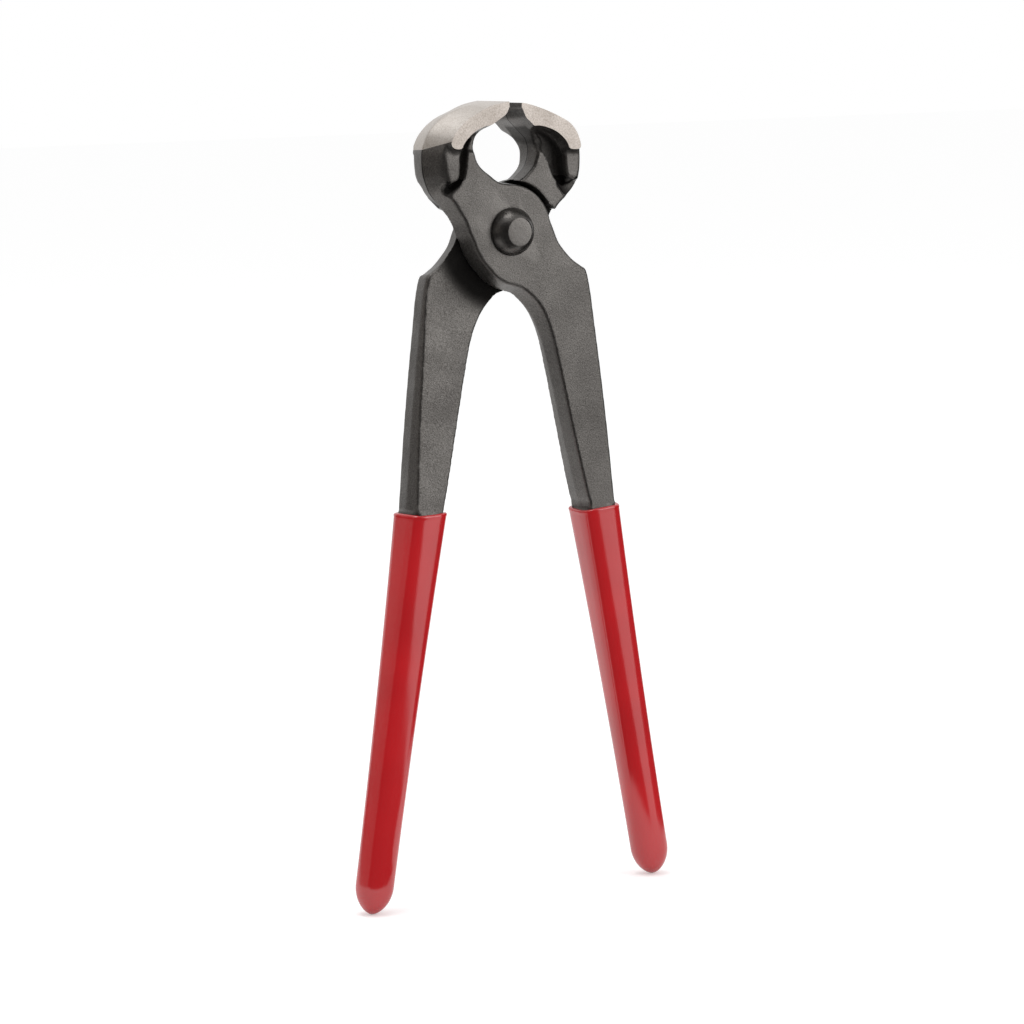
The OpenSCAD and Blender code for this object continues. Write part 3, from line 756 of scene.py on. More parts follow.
def grip_tree():
    """A node tree that draws a dipped sleeve: a soft square section that follows the grip's line."""
    tree = bpy.data.node_groups.new("dipped_sleeve", "GeometryNodeTree")
    calc = partial(maths, tree)
    start, end = sleeve_sockets(tree)
    grid = tree.nodes.new("GeometryNodeMeshGrid")
    grid.inputs["Size X"].default_value = grid.inputs["Size Y"].default_value = 1
    tree.links.new(start["Around"], grid.inputs["Vertices X"])
    tree.links.new(start["Rows"], grid.inputs["Vertices Y"])
    split = tree.nodes.new("ShaderNodeSeparateXYZ")
    tree.links.new(tree.nodes.new("GeometryNodeInputPosition").outputs[0], split.inputs[0])
    turn = calc("MULTIPLY_ADD", split.outputs["X"], -2 * math.pi, math.pi)
    # The rows run from the nose up the outside to the rim, and down the inside again.
    run = calc("MULTIPLY_ADD", split.outputs["Y"], 2, 1)
    inside = calc("GREATER_THAN", run, 1.0001)
    # From the nose (0) to the rim (1), with close rows at both.
    swing = calc("COSINE", calc("MULTIPLY", calc("PINGPONG", run, 1), math.pi))
    share = calc("MULTIPLY_ADD", swing, -0.5, 0.5)
    inset = calc("MULTIPLY", inside, start["Thickness"])
    along = calc("MAXIMUM", calc("MULTIPLY", share, start["Length"]), inset)
    into_nose = calc("DIVIDE", calc("SUBTRACT", along, inset), start["Nose"])
    rest = calc("SUBTRACT", 1, calc("MINIMUM", into_nose, 1))
    nose = calc("POWER", calc("SUBTRACT", 1, calc("POWER", rest, 2.0)), NOSE_POWER)
    flare = calc("POWER", share, start["Flare"])
    # The bead under the rim, on the outside only.
    below = calc("DIVIDE", calc("SUBTRACT", start["Length"], along), start["Bead height"])
    hump = calc("SINE", calc("MULTIPLY", calc("MINIMUM", below, 1), math.pi))
    edge = calc("MAXIMUM", calc("SUBTRACT", 1, calc("MULTIPLY", below, BEAD_ROUND)), 0)
    drawn = calc("MULTIPLY", calc("POWER", edge, 2), BEAD_DRAW)
    swell = calc("SUBTRACT", calc("MULTIPLY", hump, start["Bead swell"]), drawn)
    swell = calc("MULTIPLY", swell, calc("SUBTRACT", 1, inside))
    squarer = calc("SUBTRACT", start["Squareness"], start["End squareness"])
    square = calc("MULTIPLY_ADD", squarer, calc("POWER", share, SECTION_POWER),
                  start["End squareness"])
    corner = calc("DIVIDE", 2, square)
    sides = []
    for label, wave in (("width", "COSINE"), ("depth", "SINE")):
        growth = calc("SUBTRACT", start[f"Rim {label}"], start[f"End {label}"])
        size = calc("MULTIPLY_ADD", growth, flare, start[f"End {label}"])
        half = calc("SUBTRACT", calc("MULTIPLY", size, 0.5), inset)
        half = calc("ADD", calc("MULTIPLY", half, nose), swell)
        sides.append(calc("MULTIPLY", half, signed_power(tree, calc(wave, turn), corner)))
    ripple = calc("SINE", calc("MULTIPLY_ADD", turn, WAVES_AROUND, WAVES_START))
    ripple = calc("MULTIPLY", calc("MULTIPLY", ripple, start["Waviness"]),
                  calc("POWER", share, WAVES_POWER))
    slant = calc("MULTIPLY", calc("MULTIPLY", sides[0], start["Slant"]),
                 calc("POWER", share, SLANT_POWER))
    height = calc("ADD", calc("SUBTRACT", along, start["Length"]), ripple)
    height = calc("SUBTRACT", height, slant)
    place = tree.nodes.new("ShaderNodeCombineXYZ")
    for key, value in zip("XYZ", (*sides, height)):
        tree.links.new(value, place.inputs[key])
    last = grid.outputs["Mesh"]
    for kind, key, value in (
        ("SetPosition", "Position", place.outputs[0]),
        ("MergeByDistance", "Distance", SEAM_GAP),
        ("RealizeInstances", None, None),
        ("SetMaterial", "Material", start["Finish"]),
    ):
        node = tree.nodes.new(f"GeometryNode{kind}")
        tree.links.new(last, node.inputs["Geometry"])
        if key:
            feed(tree, value, node.inputs[key])
        last = node.outputs["Geometry"]
    tree.links.new(last, end["Geometry"])
    return tree


def grown(name, tree, values):
    """A mesh object made by a node tree from named inputs, with no modifier left on it."""
    made = placed(name, bpy.data.meshes.new(name))
    modifier = made.modifiers.new("Grow", "NODES")
    modifier.node_group = tree
    for socket in tree.interface.items_tree:
        if socket.in_out == "INPUT" and socket.name in values:
            modifier[socket.identifier] = values[socket.name]
    baked(made)
    if not made.data.polygons:
        raise RuntimeError(f"{name} came out empty")
    return closed_object(name, made.data, made)


def on_grip_line(made):
    """Moves something drawn down a grip's middle line to its place on a closed lever."""
    made.data.transform(Matrix.Translation((GRIP_TOP[0], 0, GRIP_TOP[1]))
                        @ Matrix.Rotation(-GRIP_LEAN, 4, "Y"))
    return made


def posed(made, rear):
    """Turns a closed lever's piece to its place as the tool stands, and to metres."""
    place = Matrix.Translation(PIVOT) @ Matrix.Rotation(-OPENING / 2, 4, "Y") @ Matrix.Scale(MM, 4)
    if rear:
        place = Matrix.Rotation(math.pi, 4, "Z") @ place
    made.data.transform(place)
    return made


# Materials

# How dark the seam and the painted shade with black scale in hollows make the steel's colour, and how
# bright an edge's wear with its painted highlight makes it.
SEAM_AND_PAINTED_SHADE_TONE = 0.2
WEAR_AND_HIGHLIGHT_TONE = 1.7
# How much rougher the painted shade with black scale in hollows is, and how far the clouds move the
# roughness.
PAINTED_SHADE_ROUGHER = 0.4
CLOUD_ROUGHER = 0.05
CLOUD_SMOOTHER = 0.04
# The seam left by the forging dies: half its width with its soft edge, and the height it starts at.
SEAM_HALF = (0.00012, 0.00028)
SEAM_START = (0.196, 0.199)
# The plastic's deeper patches and the fine waves on its slow ones.
DEEP_SHADE = 0.86
FINE_WAVES = 0.06


def feed(tree, value, socket):
    """Gives a node's socket a number, or links another socket to it."""
    if isinstance(value, (int, float)):
        socket.default_value = value
    else:
        tree.links.new(value, socket)


def new_group(name, inputs, outputs):
    """A shader node group with its sockets made."""
    tree = bpy.data.node_groups.new(name, "ShaderNodeTree")
    for label, kind, default in inputs:
        socket = tree.interface.new_socket(name=label, in_out="INPUT", socket_type=kind)
        if default is not None:
            socket.default_value = default
    for label in outputs:
        tree.interface.new_socket(name=label, in_out="OUTPUT", socket_type="NodeSocketFloat")
    return tree, tree.nodes.new("NodeGroupInput").outputs, tree.nodes.new("NodeGroupOutput").inputs


def maths(tree, operation, *values):
    """A Math node whose inputs are sockets or numbers."""
    node = tree.nodes.new("ShaderNodeMath")
    node.operation = operation
    for value, socket in zip(values, node.inputs):
        feed(tree, value, socket)
    return node.outputs[0]


def noise(tree, vector, scale, detail, roughness=0.55):
    """A noise value on a vector."""
    node = tree.nodes.new("ShaderNodeTexNoise")
    node.inputs["Detail"].default_value = detail
    node.inputs["Roughness"].default_value = roughness
    feed(tree, scale, node.inputs["Scale"])
    tree.links.new(vector, node.inputs["Vector"])
    return node.outputs["Fac"]


def spread(tree, value, low, high, out_low=0.0, out_high=1.0):
    """Maps a value's range to another, held at its ends."""
    node = tree.nodes.new("ShaderNodeMapRange")
    for key, setting in (("Value", value), ("From Min", low), ("From Max", high),
                         ("To Min", out_low), ("To Max", out_high)):
        feed(tree, setting, node.inputs[key])
    return node.outputs["Result"]


def blended(tree, factor, a, b):
    """A colour mixed by a factor. The colours are sockets or RGB values."""
    node = tree.nodes.new("ShaderNodeMix")
    node.data_type = "RGBA"
    tree.links.new(factor, node.inputs["Factor"])
    for key, value in (("A", a), ("B", b)):
        socket = [s for s in node.inputs if s.name == key and s.type == "RGBA"][0]
        if hasattr(value, "is_output"):
            tree.links.new(value, socket)
        else:
            socket.default_value = (*value, 1)
    return [s for s in node.outputs if s.type == "RGBA"][0]


def toned(rgb, share):
    """A colour made darker or lighter by a share."""
    return tuple(c * share for c in rgb)


def skin_grain_group():
    """Fine grain with larger clouds, for the forged skin, the rivet and the ground faces."""
    tree, start, end = new_group(
        "skin_grain",
        [("Vector", "NodeSocketVector", None), ("Grain", "NodeSocketFloat", 2200.0),
         ("Clouds", "NodeSocketFloat", 110.0)],
        ["Height", "Specks", "Clouds"])
    calc = partial(maths, tree)
    coarser = calc("MULTIPLY", start["Grain"], 0.35)
    fine = noise(tree, start["Vector"], start["Grain"], detail=3.0, roughness=0.6)
    middle = noise(tree, start["Vector"], coarser, detail=2.0)
    clouds = noise(tree, start["Vector"], start["Clouds"], detail=3.0)
    height = calc("ADD", calc("MULTIPLY", fine, 0.6), calc("MULTIPLY", middle, 0.5))
    tree.links.new(height, end["Height"])
    tree.links.new(spread(tree, fine, 0.35, 0.65), end["Specks"])
    tree.links.new(spread(tree, clouds, 0.3, 0.7), end["Clouds"])


def start_material(name):
    """A material's node tree with its Principled shader and object coordinates."""
    material = bpy.data.materials.new(name)
    material.use_nodes = True
    tree = material.node_tree
    tree.nodes.clear()
    shader = tree.nodes.new("ShaderNodeBsdfPrincipled")
    output = tree.nodes.new("ShaderNodeOutputMaterial")
    tree.links.new(shader.outputs["BSDF"], output.inputs["Surface"])
    place = tree.nodes.new("ShaderNodeTexCoord").outputs["Object"]
    return tree, shader.inputs, place


def grained(tree, place, grain, clouds):
    """The outputs of the shared grain group, placed in a material."""
    node = tree.nodes.new("ShaderNodeGroup")
    node.node_tree = bpy.data.node_groups["skin_grain"]
    node.inputs["Grain"].default_value = grain
    node.inputs["Clouds"].default_value = clouds
    tree.links.new(place, node.inputs["Vector"])
    return node.outputs


def attribute(tree, name):
    """A value that is written on the piece's points."""
    node = tree.nodes.new("ShaderNodeAttribute")
    node.attribute_name = name
    return node.outputs["Fac"]


def bumped(tree, shader, height, strength, distance):
    """Feeds a height to the shader's normal."""
    node = tree.nodes.new("ShaderNodeBump")
    node.inputs["Strength"].default_value = strength
    node.inputs["Distance"].default_value = distance
    tree.links.new(height, node.inputs["Height"])
    tree.links.new(node.outputs["Normal"], shader["Normal"])


def parting_line(tree, place):
    """A mask of the thin seam that the forging dies leave round the jaws."""
    split = tree.nodes.new("ShaderNodeSeparateXYZ")
    tree.links.new(place, split.inputs["Vector"])
    seam = spread(tree, maths(tree, "ABSOLUTE", split.outputs["Y"]), *SEAM_HALF, 1, 0)
    return maths(tree, "MULTIPLY", seam, spread(tree, split.outputs["Z"], *SEAM_START))


def forged_steel(name, base, dark, rough, bump):
    """Blackened steel with a fine sandy grain, painted shade with black scale in its hollows, and edges
    lightened for wear and as a painted highlight.
    """
    tree, shader, place = start_material(name)
    calc = partial(maths, tree)
    grain = grained(tree, place, grain=2600.0, clouds=90.0)
    mix = calc("MULTIPLY_ADD", grain["Specks"], 0.8, calc("MULTIPLY", grain["Clouds"], 0.2))
    # Near black: the seam's own colour, and the colour of the painted shade in hollows.
    black = toned(dark, SEAM_AND_PAINTED_SHADE_TONE)
    seamed = blended(tree, parting_line(tree, place), blended(tree, mix, dark, base), black)
    hollow = attribute(tree, "hollow")
    # Painted shade in hollows, with black scale, broken up by the clouds.
    scale = calc("MULTIPLY", calc("MULTIPLY_ADD", grain["Clouds"], 0.25, hollow), hollow)
    painted_shade_mixed = blended(tree, scale, seamed, black)
    # Edges lightened for wear and as a painted highlight, in patches.
    patchy = calc("MULTIPLY", attribute(tree, "wear_and_painted_highlight"), spread(tree, grain["Clouds"], 0.2, 0.8, 0.3, 1))
    wear_and_painted_highlight = blended(tree, patchy, painted_shade_mixed, toned(base, WEAR_AND_HIGHLIGHT_TONE))
    tree.links.new(wear_and_painted_highlight, shader["Base Color"])
    shader["Metallic"].default_value = 0.9
    polish = spread(tree, grain["Clouds"], 0, 1, rough + CLOUD_ROUGHER, rough - CLOUD_SMOOTHER)
    tree.links.new(calc("MULTIPLY_ADD", scale, PAINTED_SHADE_ROUGHER, polish), shader["Roughness"])
    bumped(tree, shader, grain["Height"], strength=bump, distance=0.00025)


def ground_steel(name, base, warm):
    """Bright steel with the fine lines of a grinding belt and warm clouds."""
    tree, shader, place = start_material(name)
    calc = partial(maths, tree)
    grain = grained(tree, place, grain=2400.0, clouds=140.0)
    lines = tree.nodes.new("ShaderNodeMapping")
    lines.inputs["Scale"].default_value = (2600, 160, 2600)
    tree.links.new(place, lines.inputs["Vector"])
    drawn = noise(tree, lines.outputs["Vector"], scale=1.0, detail=2.0)
    mix = calc("MULTIPLY_ADD", grain["Specks"], 0.65, calc("MULTIPLY", grain["Clouds"], 0.35))
    tree.links.new(blended(tree, mix, warm, base), shader["Base Color"])
    shader["Metallic"].default_value = 1.0
    tree.links.new(spread(tree, grain["Specks"], 0, 1, 0.42, 0.5), shader["Roughness"])
    height = calc("ADD", calc("MULTIPLY", drawn, 0.6), calc("MULTIPLY", grain["Height"], 0.5))
    bumped(tree, shader, height, strength=0.35, distance=0.00008)


def dipped_plastic(name, red, roughness):
    """Glossy dipped plastic with the slow waves of a drained coat."""
    tree, shader, place = start_material(name)
    shader["Roughness"].default_value = roughness
    shader["IOR"].default_value = 1.68
    waves = noise(tree, place, scale=60.0, detail=1.0)
    coat = blended(tree, spread(tree, waves, 0.3, 0.7), red, toned(red, DEEP_SHADE))
    tree.links.new(coat, shader["Base Color"])
    fine = noise(tree, place, scale=420.0, detail=2.0)
    height = maths(tree, "ADD", waves, maths(tree, "MULTIPLY", fine, FINE_WAVES))
    bumped(tree, shader, height, strength=0.12, distance=0.0012)


def seen_directly(tree):
    """One for what the camera, a reflection or glass looks at, and zero for lighting."""
    path = tree.nodes.new("ShaderNodeLightPath").outputs
    seen = maths(tree, "MAXIMUM", path["Is Camera Ray"], path["Is Glossy Ray"])
    return maths(tree, "MAXIMUM", seen, path["Is Transmission Ray"])


# Pieces

BORE_AROUND = 96
RIVET_AROUND = 128
# The rivet's head: its bow to each side, the rows of the bow and the straight rim below it.
HEAD_BOW = math.radians(17)
HEAD_ROWS = 16
HEAD_RIM = 0.55
PEEN_ROWS = 12
RIVET_SMOOTHER = 0.15
# Room between the rivet and what turns on it or lies against its head.
RUNNING_GAP = 0.05
# The tang: its rows and the points round it, its gap to the sleeve, the step down from the rim,
# and the neck above as a share of the rim's section.
TANG_ROWS = 32
TANG_AROUND = 48
TANG_GAP = 0.05
TANG_STEP = 0.1
TANG_NECK = 0.6
TANG_NECK_LENGTH = 2
# Faces left after the skin is softened, as a share.
SKIN_KEPT = 0.5
# What the ground ends leave of the forging: corners in x and z.
ENVELOPE = [(-60, 60), (-60, -220), (60, -220), (60, 20), (0, 20), (0, 60)]
# The ground crown: how many of the back's points it follows, the lowest height it can have, how
# far it faces away from the jaw's middle, and how far it lies from the outline, more with depth.
CROWN_POINTS = 9
CROWN_LOW = 22.0
CROWN_FACING = 0.3
CROWN_GAP = (0.9, 0.5)
GROUND_LINE_SPAN = (22, 29)
# Painted shade, with black scale, in hollows: rays sent from each point and how far they look, the
# share of closed rays at which the painted shade starts and how soon it is full, and the passes that
# soften it.
HOLLOW_RAYS = 20
HOLLOW_REACH = 9.0
HOLLOW_LIFT = 0.08
HOLLOW_LOW = -32
HOLLOW_START = 0.1
HOLLOW_SPAN = 0.3
HOLLOW_PASSES = 6
GOLDEN_TURN = 2.399963
# Radii at which the painted shade on the lap's run-out starts to fade and ends, the depths it lies at
# and its cover.
LAP_PAINTED_SHADE = (18.5, 25.0)
LAP_DEPTHS = (-0.3, 4.9)
LAP_COVER = 0.95
# Heights above which the jaw's painted shade is cut to its cover, and above which the painted shade
# lines are drawn.
JAW_PAINTED_SHADE_LOW = 16
LINE_PAINTED_SHADE_LOW = 8
# Bend at which an edge starts to show its wear as a painted highlight, and how much more makes it fully
# bright.
WEAR_HIGHLIGHT_START = 0.12
WEAR_HIGHLIGHT_SPAN = 0.2
FAR_AWAY = 99.0
BATCH = 4000


def shade(made, degrees):
    """Smooth shading with sharp edges kept where faces meet at more than an angle."""
    made.data.shade_smooth()
    made.data.set_sharp_from_angle(angle=math.radians(degrees))


def tang(fit, rise):
    """The handle's end inside the grip, filled out to the rim, with a neck into the handle."""
    inset = fit.dip_thickness / MM + TANG_GAP
    w, d = fit.rim_width / MM - 2 * inset, fit.rim_depth / MM - 2 * inset
    ew, ed = fit.grip_end_width / MM - 2 * inset, fit.grip_end_depth / MM - 2 * inset
    length_in, nose = fit.grip_length / MM - inset + rise, fit.nose_length / MM - inset
    turn = np.arange(TANG_AROUND) * math.pi / (TANG_AROUND / 2)
    rings = []
    for i in range(TANG_ROWS + 1):
        share = 0.5 - 0.5 * math.cos(math.pi * i / TANG_ROWS)
        along = max(share * length_in, 0.02)
        k = (1 - (1 - min(along / nose, 1)) ** 2) ** NOSE_POWER
        flare = share**fit.flare
        square = (fit.end_squareness
                  + (fit.squareness - fit.end_squareness) * share**SECTION_POWER)
        section = [np.sign(v) * np.abs(v) ** (2 / square) for v in (np.cos(turn), np.sin(turn))]
        rings.append(np.stack([
            (ew + (w - ew) * flare) / 2 * k * section[0],
            (ed + (d - ed) * flare) / 2 * k * section[1],
            np.full(TANG_AROUND, along - length_in + rise - TANG_STEP)], 1))
    neck = rings[-1] * (TANG_NECK, TANG_NECK, 1)
    return stacked("tang", rings + [neck + (0, 0, lift) for lift in (0.02, TANG_NECK_LENGTH)])


def soft_forging(sizes, fit, plan):
    """The forging with its rounded edges, before it is ground."""
    made = plan.blank()
    made.name = "forging"
    cut(made, *plan.cutters(), inside_cutter(sizes))
    rise = (fit.rear_rim_rise if plan.rear else fit.front_rim_rise) / MM
    cut(made, on_grip_line(block("rim_end", (-15, -15, -20), (15, 15, rise))))
    end = tang(fit, rise)
    end.data.transform(Matrix.Rotation(fit.rear_twist if plan.rear else fit.front_twist, 4, "Z"))
    cut(made, on_grip_line(end), operation="UNION")
    cut(made, *lap_cutters(sizes, LAP_STOCK, True))
    applied(made, "REMESH", mode="VOXEL", voxel_size=sizes.skin / MM, adaptivity=0.0)
    applied(made, "SMOOTH", factor=0.5, iterations=sizes.soften)
    return applied(made, "DECIMATE", decimate_type="COLLAPSE", ratio=SKIN_KEPT)


def vectors(items, key):
    """A vector of each of a mesh's points or faces, as rows."""
    values = np.empty(len(items) * 3)
    items.foreach_get(key, values)
    return values.reshape(-1, 3)


def gap_to_path(points, chosen, path):
    """How far the chosen points lie from a path beside them, and far away for the rest."""
    gap = np.full(len(points), FAR_AWAY)
    index = np.where(chosen)[0]
    for start in range(0, len(index), BATCH):
        part = index[start : start + BATCH]
        gap[part] = np.linalg.norm(points[part][:, None, [0, 2]] - path[None], axis=2).min(1)
    return gap


def ground_zone(made, plan):
    """Marks the faces that were ground bright: the jaw's ends and its outer crown."""
    mesh = made.data
    crown = plan.outline(CURVE_STEPS, 0)[: CURVE_STEPS * CROWN_POINTS, :2]
    c, n = vectors(mesh.polygons, "center"), vectors(mesh.polygons, "normal")
    depth = np.abs(c[:, 1])
    ends = (depth > plan.half_edge - 0.02) & (np.abs(n[:, 1]) > 0.9)
    near = (c[:, 2] > CROWN_LOW) & (c[:, 0] < 0.5)
    gap = gap_to_path(c, near, crown)
    ray = c[:, [0, 2]] - np.array([0.0, CROWN_LOW])
    ray /= np.maximum(np.linalg.norm(ray, axis=1), 1e-6)[:, None]
    facing = (n[:, [0, 2]] * ray).sum(1)
    slope = np.where(c[:, 1] * plan.near > 0, *GROUND_LINE_SLOPES)
    line = plan.jaw_h * GROUND_LINE_SHARE + slope * depth
    outer = near & (facing > CROWN_FACING) & (c[:, 2] > line)
    outer &= gap < CROWN_GAP[0] + CROWN_GAP[1] * depth
    slots = np.zeros(len(mesh.polygons), np.int32)
    slots[outer] = 2
    slots[ends] = 1
    mesh.polygons.foreach_set("material_index", slots)


def near_line(points, plan, line):
    """One near a line drawn on the forging, fading to zero away from it."""
    path = smooth_curve(scaled(plan.reach, plan.jaw_h, line.shares), 8)
    jaw = (points[:, 2] > LINE_PAINTED_SHADE_LOW) & (points[:, 0] < 0)
    gap = gap_to_path(points, jaw, path)
    depth = np.abs(points[:, 1])
    cover = np.clip((line.end - gap) / (line.end - line.full), 0, 1)
    return cover * (depth >= line.shallow) * (depth <= line.deep)


def shut_in(mesh, points, normals):
    """How much of what each point looks out on is closed by the piece itself."""
    side = np.cross(normals, np.where(np.abs(normals[:, :1]) > 0.7, [0, 1.0, 0], [1.0, 0, 0]))
    side /= np.linalg.norm(side, axis=1)[:, None]
    other = np.cross(normals, side)
    tree = BVHTree.FromPolygons(points.tolist(), [tuple(p.vertices) for p in mesh.polygons])
    near = np.where(points[:, 2] > HOLLOW_LOW)[0]
    starts = [Vector(p) for p in (points[near] + normals[near] * HOLLOW_LIFT).tolist()]
    shut = np.zeros(len(points))
    for k in range(HOLLOW_RAYS):
        height = math.sqrt(1 - (k + 0.5) / HOLLOW_RAYS)
        flat, turn = math.sqrt(1 - height * height), k * GOLDEN_TURN
        ways = (normals[near] * height + side[near] * flat * math.cos(turn)
                + other[near] * flat * math.sin(turn)).tolist()
        for i, start, way in zip(near, starts, ways):
            gap = tree.ray_cast(start, way, HOLLOW_REACH)[3]
            if gap is not None:
                shut[i] += 1 - gap / HOLLOW_REACH
    return shut / HOLLOW_RAYS


def evened(values, a, b):
    """Values at points, each averaged with its neighbours' over the edges from a to b."""
    for _ in range(HOLLOW_PASSES):
        total, count = values.copy(), np.ones(len(values))
        for here, there in ((a, b), (b, a)):
            np.add.at(total, here, values[there])
            np.add.at(count, here, 1)
        values = total / count
    return values


def bend_at(points, normals, a, b):
    """How far the skin falls away round each point, over the edges from a to b."""
    bend, count = np.zeros(len(points)), np.zeros(len(points))
    size = np.maximum(np.linalg.norm(points[b] - points[a], axis=1), 0.05)
    for here, there in ((a, b), (b, a)):
        rise = ((points[there] - points[here]) * normals[here]).sum(1)
        np.add.at(bend, here, -rise / size)
        np.add.at(count, here, 1)
    return bend / np.maximum(count, 1)


def mark_skin(made, plan):
    """Writes where shade is painted into the forging's hollows and grooves, with black scale, and where
    its edges carry wear and a painted highlight.
    """
    mesh = made.data
    points, normals = vectors(mesh.vertices, "co"), vectors(mesh.vertices, "normal")
    edges = np.empty(len(mesh.edges) * 2, np.int32)
    mesh.edges.foreach_get("vertices", edges)
    a, b = edges.reshape(-1, 2).T
    shut = evened(shut_in(mesh, points, normals), a, b)
    # Painted shade on the lap's run-out beside the other lever.
    radius = np.hypot(points[:, 0], points[:, 2])
    lap = np.clip((LAP_PAINTED_SHADE[1] - radius) / (LAP_PAINTED_SHADE[1] - LAP_PAINTED_SHADE[0]), 0, 1)
    lap *= (normals[:, 1] > 0.1) & (points[:, 1] > LAP_DEPTHS[0]) & (points[:, 1] < LAP_DEPTHS[1])
    # Painted shade where the piece closes in on a point's view, and along the groove lines.
    hollow = np.clip((shut - HOLLOW_START) / HOLLOW_SPAN, 0, 1)
    for line in plan.shape.painted_shade_lines:
        hollow = np.maximum(hollow, near_line(points, plan, line))
    cover = np.where(points[:, 2] > JAW_PAINTED_SHADE_LOW, plan.shape.painted_shade_cover, 1)
    hollow = np.maximum(hollow * cover, lap * (2 - lap) * LAP_COVER)
    # Painted highlight, with wear, on the edges that bend away, kept off the painted shade.
    wear_and_painted_highlight = np.clip((bend_at(points, normals, a, b) - WEAR_HIGHLIGHT_START) / WEAR_HIGHLIGHT_SPAN, 0, 1) * (1 - hollow)
    for name, values in (("hollow", hollow), ("wear_and_painted_highlight", wear_and_painted_highlight)):
        mesh.attributes.new(name, "FLOAT", "POINT").data.foreach_set("value", values)


def cut_line(made, plan):
    """Splits the jaw's back along the line where the grinding stops."""
    b = bmesh.new()
    b.from_mesh(made.data)
    for side in (-1, 1):
        slope = GROUND_LINE_SLOPES[0 if side == plan.near else 1]
        geom = set()
        for f in b.faces:
            x, y, z = f.calc_center_median()
            if x < JAW_RIGHT and GROUND_LINE_SPAN[0] < z < GROUND_LINE_SPAN[1] and y * side > -0.5:
                geom.update([f], f.verts, f.edges)
        bmesh.ops.bisect_plane(b, geom=list(geom), dist=1e-4,
                               plane_co=(0, 0, plan.jaw_h * GROUND_LINE_SHARE),
                               plane_no=(0, -slope * side, 1))
    b.to_mesh(made.data)
    b.free()


def lever(name, sizes, fit, rear):
    """One lever: forged, then lapped, bored and ground."""
    plan = Forging(sizes, rear)
    made = soft_forging(sizes, fit, plan)
    envelope = stacked("envelope", [
        np.array([(x, y, z) for x, z in ENVELOPE]) for y in (-plan.half_edge, plan.half_edge)])
    cut(made, envelope, operation="INTERSECT")
    cut(made, *lap_cutters(sizes, 0.0, False))
    bore_r = fit.shank_diameter / MM / 2 + (0 if rear else RUNNING_GAP)
    bore = [(0, -20), (bore_r, -20), (bore_r, 20), (0, 20)]
    cut(made, turned("bore", bore, 0, 360, BORE_AROUND))
    cut_line(made, plan)
    made.data.materials.clear()
    for finish in ("black_forging", "ground_ends", "ground_crowns"):
        made.data.materials.append(bpy.data.materials[finish])
    ground_zone(made, plan)
    mark_skin(made, plan)
    posed(made, rear)
    shade(made, degrees=38)
    made.name = name
    made.data.name = name
    return made


def dome(base_r, base_y, rise, run):
    """The rivet head's bowed side: points from the flat's edge out to the head's edge."""
    lean, half = math.atan2(rise, run), HEAD_BOW
    bow_r = math.hypot(rise, run) / 2 / math.sin(half)
    points = []
    for i in range(1, HEAD_ROWS + 1):
        a = lean - half + 2 * half * i / HEAD_ROWS
        points.append((base_r + bow_r * (math.sin(a) - math.sin(lean - half)),
                       base_y + bow_r * (math.cos(lean - half) - math.cos(a))))
    return points


def rivet_profile(sizes, fit):
    """The rivet as (radius, y) points from its front flat to its peened end."""
    half_t = sizes.joint_thickness / MM / 2
    head_r, flat_r = fit.head_diameter / MM / 2, fit.flat_diameter / MM / 2
    head_h = fit.head_height / MM
    seat = -half_t - RUNNING_GAP
    top = -half_t - head_h
    profile = [(0, top), (flat_r * 0.5, top), (flat_r * 0.93, top), (flat_r, top + 0.03)]
    profile += dome(flat_r, top + 0.03, head_h - HEAD_RIM, head_r - flat_r)
    profile += [(head_r, seat - 0.28), (head_r - 0.12, seat - 0.1), (head_r - 0.35, seat)]
    shank_r = fit.shank_diameter / MM / 2
    profile += [(shank_r, seat), (shank_r, half_t)]
    peen_r, peen_h = fit.peen_diameter / MM / 2, fit.peen_height / MM
    for i in range(PEEN_ROWS):
        a = math.radians(90 * i / PEEN_ROWS)
        profile.append((peen_r * math.cos(a), half_t + peen_h * math.sin(a)))
    return profile + [(0, half_t + peen_h)]


class PINCERS_OT_materials(bpy.types.Operator):
    """Makes the materials of the steel and the plastic"""

    bl_idname = "pincers.materials"
    bl_label = "Make the finishes"

    def execute(self, context):
        finishes = context.scene.pincers_finishes
        dark, rough = tuple(finishes.forged_dark), finishes.forged_roughness
        skin_grain_group()
        forged_steel("black_forging", tuple(finishes.forged), dark, rough, 0.5)
        forged_steel("black_rivet", tuple(finishes.rivet), dark, rough - RIVET_SMOOTHER, 0.3)
        ground_steel("ground_ends", tuple(finishes.ground), tuple(finishes.ground_warm))
        ground_steel("ground_crowns", tuple(finishes.crown), tuple(finishes.crown_warm))
        dipped_plastic("red_dip", tuple(finishes.dip), finishes.dip_roughness)
        return {"FINISHED"}


class PINCERS_OT_levers(bpy.types.Operator):
    """Forges, laps and grinds the two levers"""

    bl_idname = "pincers.levers"
    bl_label = "Forge the levers"

    def execute(self, context):
        sizes = context.scene.pincers_forging
        fit = context.scene.pincers_fittings
        for name, rear, body, node in (
            ("front_forging", False, FRONT_BODY, "front_lever"),
            ("rear_forging", True, REAR_BODY, "rear_lever"),
        ):
            made = lever(name, sizes, fit, rear)
            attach(made, body)
            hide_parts(node)
        return {"FINISHED"}


class PINCERS_OT_rivet(bpy.types.Operator):
    """Turns the rivet with its domed head and its peened end"""

    bl_idname = "pincers.rivet"
    bl_label = "Turn the rivet"

    def execute(self, context):
        profile = rivet_profile(context.scene.pincers_forging, context.scene.pincers_fittings)
        made = turned("rivet_pin", profile, 0, 360, RIVET_AROUND)
        made.data.transform(Matrix.Translation(PIVOT) @ Matrix.Scale(MM, 4))
        made.data.materials.append(bpy.data.materials["black_rivet"])
        shade(made, degrees=32)
        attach(made, REAR_BODY)
        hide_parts("rivet")
        return {"FINISHED"}


